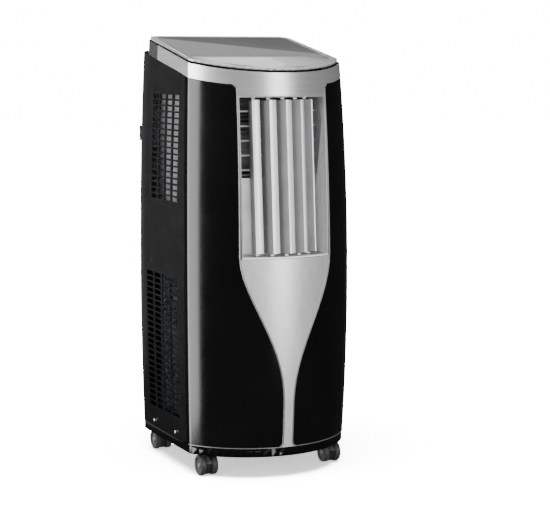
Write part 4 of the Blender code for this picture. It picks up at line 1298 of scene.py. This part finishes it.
class AirconColours(bpy.types.PropertyGroup):
    """Colours of the finishes."""

    lacquer: colour("Front black", "Gloss black of the front panels", (0.0025, 0.0025, 0.0027))
    side_black: colour("Side black", "Black of the side panels", (0.004, 0.004, 0.0043))
    silver: colour("Silver", "Silver lacquer of the band and the insert", (0.66, 0.66, 0.67))
    # This dark grey is painted shade on the vane flanks, not the blades' own colour.
    vane_flank_shade: colour("Vane side shade", "Dark flank of the vanes", (0.20, 0.20, 0.205))
    vane_nose: colour("Vane nose", "Bright face of the vanes", (0.95, 0.95, 0.95))
    glass: colour("Control glass", "Tinted glass of the lid", (0.46, 0.46, 0.47))
    filter_grey: colour("Filter", "Threads of the air filters", (0.62, 0.62, 0.63))
    fins: colour("Fins", "Coated aluminium of the condenser", (0.16, 0.24, 0.25))


class AirconStudio(bpy.types.PropertyGroup):
    """The floor, the lights and the camera."""

    lens: bpy.props.FloatProperty(name="Lens", description="Focal length in millimetres", default=109.91)
    floor_colour: colour("Floor", "Pale studio floor", (0.90, 0.90, 0.90))
    sky: strength("Backdrop", "Brightness of the backdrop", 16.0)
    sky_fill: strength("Fill", "Soft light from all round", 0.8)
    sky_reflected: strength("Reflected sky", "Brightness of the surroundings in reflections", 0.03)
    floor_glow: strength("Floor glow", "Brightness of the lit floor", 0.8)
    corner_power: power("Corner box", "Mirrored in the front corner", 300)
    side_power: power("Side box", "Mirrored in the side panel", 3)
    front_power: power("Front strip", "Mirrored in the silver front", 70)
    fill_power: power("Front fill", "The two boxes in front that only light", 85)
    floor_power: power("Floor light", "Lights the floor alone", 4200)
    top_power: power("Overhead", "Softbox overhead", 60)


def make_finishes(colours):
    """All the finishes by name."""
    silver = tuple(colours.silver)
    FINISHES.update({
        "lacquer": gloss_black_lacquer(colours),
        "side_black": side_black_plastic(colours),
        "grille_black": grained_plastic("Grille black", (0.012, 0.012, 0.013), 0.35),
        "satin_plastic": grained_plastic("Satin black plastic", (0.016, 0.016, 0.017), 0.42),
        "silver_band": silver_lacquer("Silver band", silver, 0.30, (0.15, 0.15, 9)),
        "silver_front": silver_lacquer("Silver front", (0.80, 0.80, 0.80), 0.36, (2, 2, 0.5), 0.6),
        "outlet_silver": silver_lacquer("Outlet frame silver", (0.42, 0.42, 0.43), 0.42, (1, 1, 1), 0.3),
        # The vane flank finish carries painted shade: its dark grey stands in for the shade on the flanks.
        "vane_flank_shade": grained_plastic("Vane flank painted shade", tuple(colours.vane_flank_shade), 0.45, 700),
        "vane_nose": silver_lacquer("Vane nose", tuple(colours.vane_nose), 0.35, (4, 4, 0.2), 0.25),
        "slat_white": grained_plastic("Slat white", (0.80, 0.80, 0.80), 0.4, 700, 0.00005),
        "bead_grey": silver_lacquer("Bead grey", (0.24, 0.24, 0.245), 0.32, (1, 1, 1), 0.5),
        "bead_dark": silver_lacquer("Base bead grey", (0.20, 0.20, 0.205), 0.34, (1, 1, 1), 0.5),
        "duct_plastic": grained_plastic("Duct grey plastic", (0.22, 0.22, 0.23), 0.6),
        "bezel": silver_lacquer("Lid bezel", (0.55, 0.55, 0.56), 0.36, (1, 1, 1), 0.4),
        "control_glass": smoked_glass(colours),
        "mark_grey": grained_plastic("Touch mark grey", (0.62, 0.62, 0.63), 0.4, 700, 0.00001),
        "wall_grey": grained_plastic("Inner wall white", (0.80, 0.80, 0.80), 0.45),
        "board": circuit_board(),
        "filter": woven_filter(colours),
        # The coil's dark colour (0.02, 0.04, 0.045) is painted shade for the gaps between its fins.
        "coil_metal": fins_with_painted_gap_shade("Coil fins", (0.02, 0.04, 0.045), tuple(colours.fins), "Y"),
        "fin_metal": drawn_metal("Fin metal", tuple(colours.fins), 0.40, (1, 1, 20)),
        "copper": drawn_metal("Copper pipe", (0.72, 0.36, 0.20), 0.32, (1, 1, 12)),
        "motor_steel": drawn_metal("Motor steel", (0.45, 0.45, 0.46), 0.40, (12, 1, 1)),
        "screw_steel": drawn_metal("Screw steel", (0.70, 0.70, 0.71), 0.32, (6, 6, 6)),
        "tank_black": grained_plastic("Tank enamel", (0.02, 0.02, 0.021), 0.38, 300),
        "wheel_black": grained_plastic("Wheel black", (0.030, 0.030, 0.031), 0.50, 500),
        "hub_grey": grained_plastic("Hub grey", (0.16, 0.16, 0.165), 0.45, 500),
    })


def operator(name, label, doc, job, group="aircon_sizes"):
    """An operator class that runs one building function."""

    def execute(self, context):
        job(getattr(context.scene, group))
        return {"FINISHED"}

    fields = {"bl_idname": f"aircon.{name}", "bl_label": label, "__doc__": doc, "execute": execute}
    return type(f"AIRCON_OT_{name}", (bpy.types.Operator,), fields)


OPERATORS = (
    operator("build_finishes", "Finishes", "Make the finishes", make_finishes, "aircon_colours"),
    operator("build_stage", "Stage", "Add the camera, floor and lights", build_stage, "aircon_studio"),
    operator("build_vanes", "Vanes", "Add the vanes' blades and noses", build_vanes),
    operator("build_pivots", "Vane sockets", "Add the sockets the vanes turn in", build_pivots),
    operator("build_slats", "Slats", "Add the level slats behind the vanes", build_slats),
    operator("build_beads", "Beads", "Add the grey beads of the front panels", build_beads),
    operator("build_lip", "Outlet lip", "Add the lip under the outlet", build_lip),
    operator("build_front_panels", "Front panels", "Add the gloss front panels", build_front_panels),
    operator("build_insert", "Front insert", "Add the silver insert", build_insert),
    operator("build_band", "Silver band", "Add the silver band round the top", build_band),
    operator("build_rear_collar", "Rear collar", "Add the black rim behind the band", build_rear_collar),
    operator("build_side_panels", "Side panels", "Add the side panels with their grilles", build_side_panels),
    operator("build_fins", "Condenser fins", "Add the condenser's fins", build_fins),
    operator("build_screws", "Screws", "Add the side panels' screws", build_screws),
    operator("build_casters", "Casters", "Add the twin wheels", build_casters),
    operator("build_fans", "Fans", "Add the blades of the two fans", build_fans),
    operator("build_touch_marks", "Touch marks", "Add the marks on the control glass", build_touch_marks),
    operator("build_exhaust", "Exhaust collar", "Add the ribbed exhaust collar", build_exhaust),
    operator("build_filter_grips", "Filter grips", "Add the air filters' pull bars", build_filter_grips),
    operator("build_copies", "Other parts", "Add the other parts with their finishes", build_copies),
)


class AIRCON_PT_panel(bpy.types.Panel):
    """The air conditioner's sizes, colours and building steps."""

    bl_label = "Air Conditioner"
    bl_idname = "AIRCON_PT_panel"
    bl_space_type = "VIEW_3D"
    bl_region_type = "UI"
    bl_category = "Air Conditioner"

    def draw(self, context):
        layout = self.layout
        for group in ("aircon_sizes", "aircon_colours", "aircon_studio"):
            box = layout.box()
            settings = getattr(context.scene, group)
            for field in settings.bl_rna.properties.keys():
                if field not in ("rna_type", "name"):
                    box.prop(settings, field)
        for step in OPERATORS:
            layout.operator(step.bl_idname)


GROUPS = {
    "aircon_sizes": AirconSizes,
    "aircon_colours": AirconColours,
    "aircon_studio": AirconStudio,
}
CLASSES = tuple(GROUPS.values()) + OPERATORS + (AIRCON_PT_panel,)


def register():
    for made in CLASSES:
        bpy.utils.register_class(made)
    for name, group in GROUPS.items():
        setattr(bpy.types.Scene, name, bpy.props.PointerProperty(type=group))


def unregister():
    for name in GROUPS:
        delattr(bpy.types.Scene, name)
    for made in reversed(CLASSES):
        bpy.utils.unregister_class(made)


def main():
    register()
    for step in OPERATORS:
        getattr(bpy.ops.aircon, step.bl_idname.split(".")[1])()


if __name__ == "__main__":
    main()
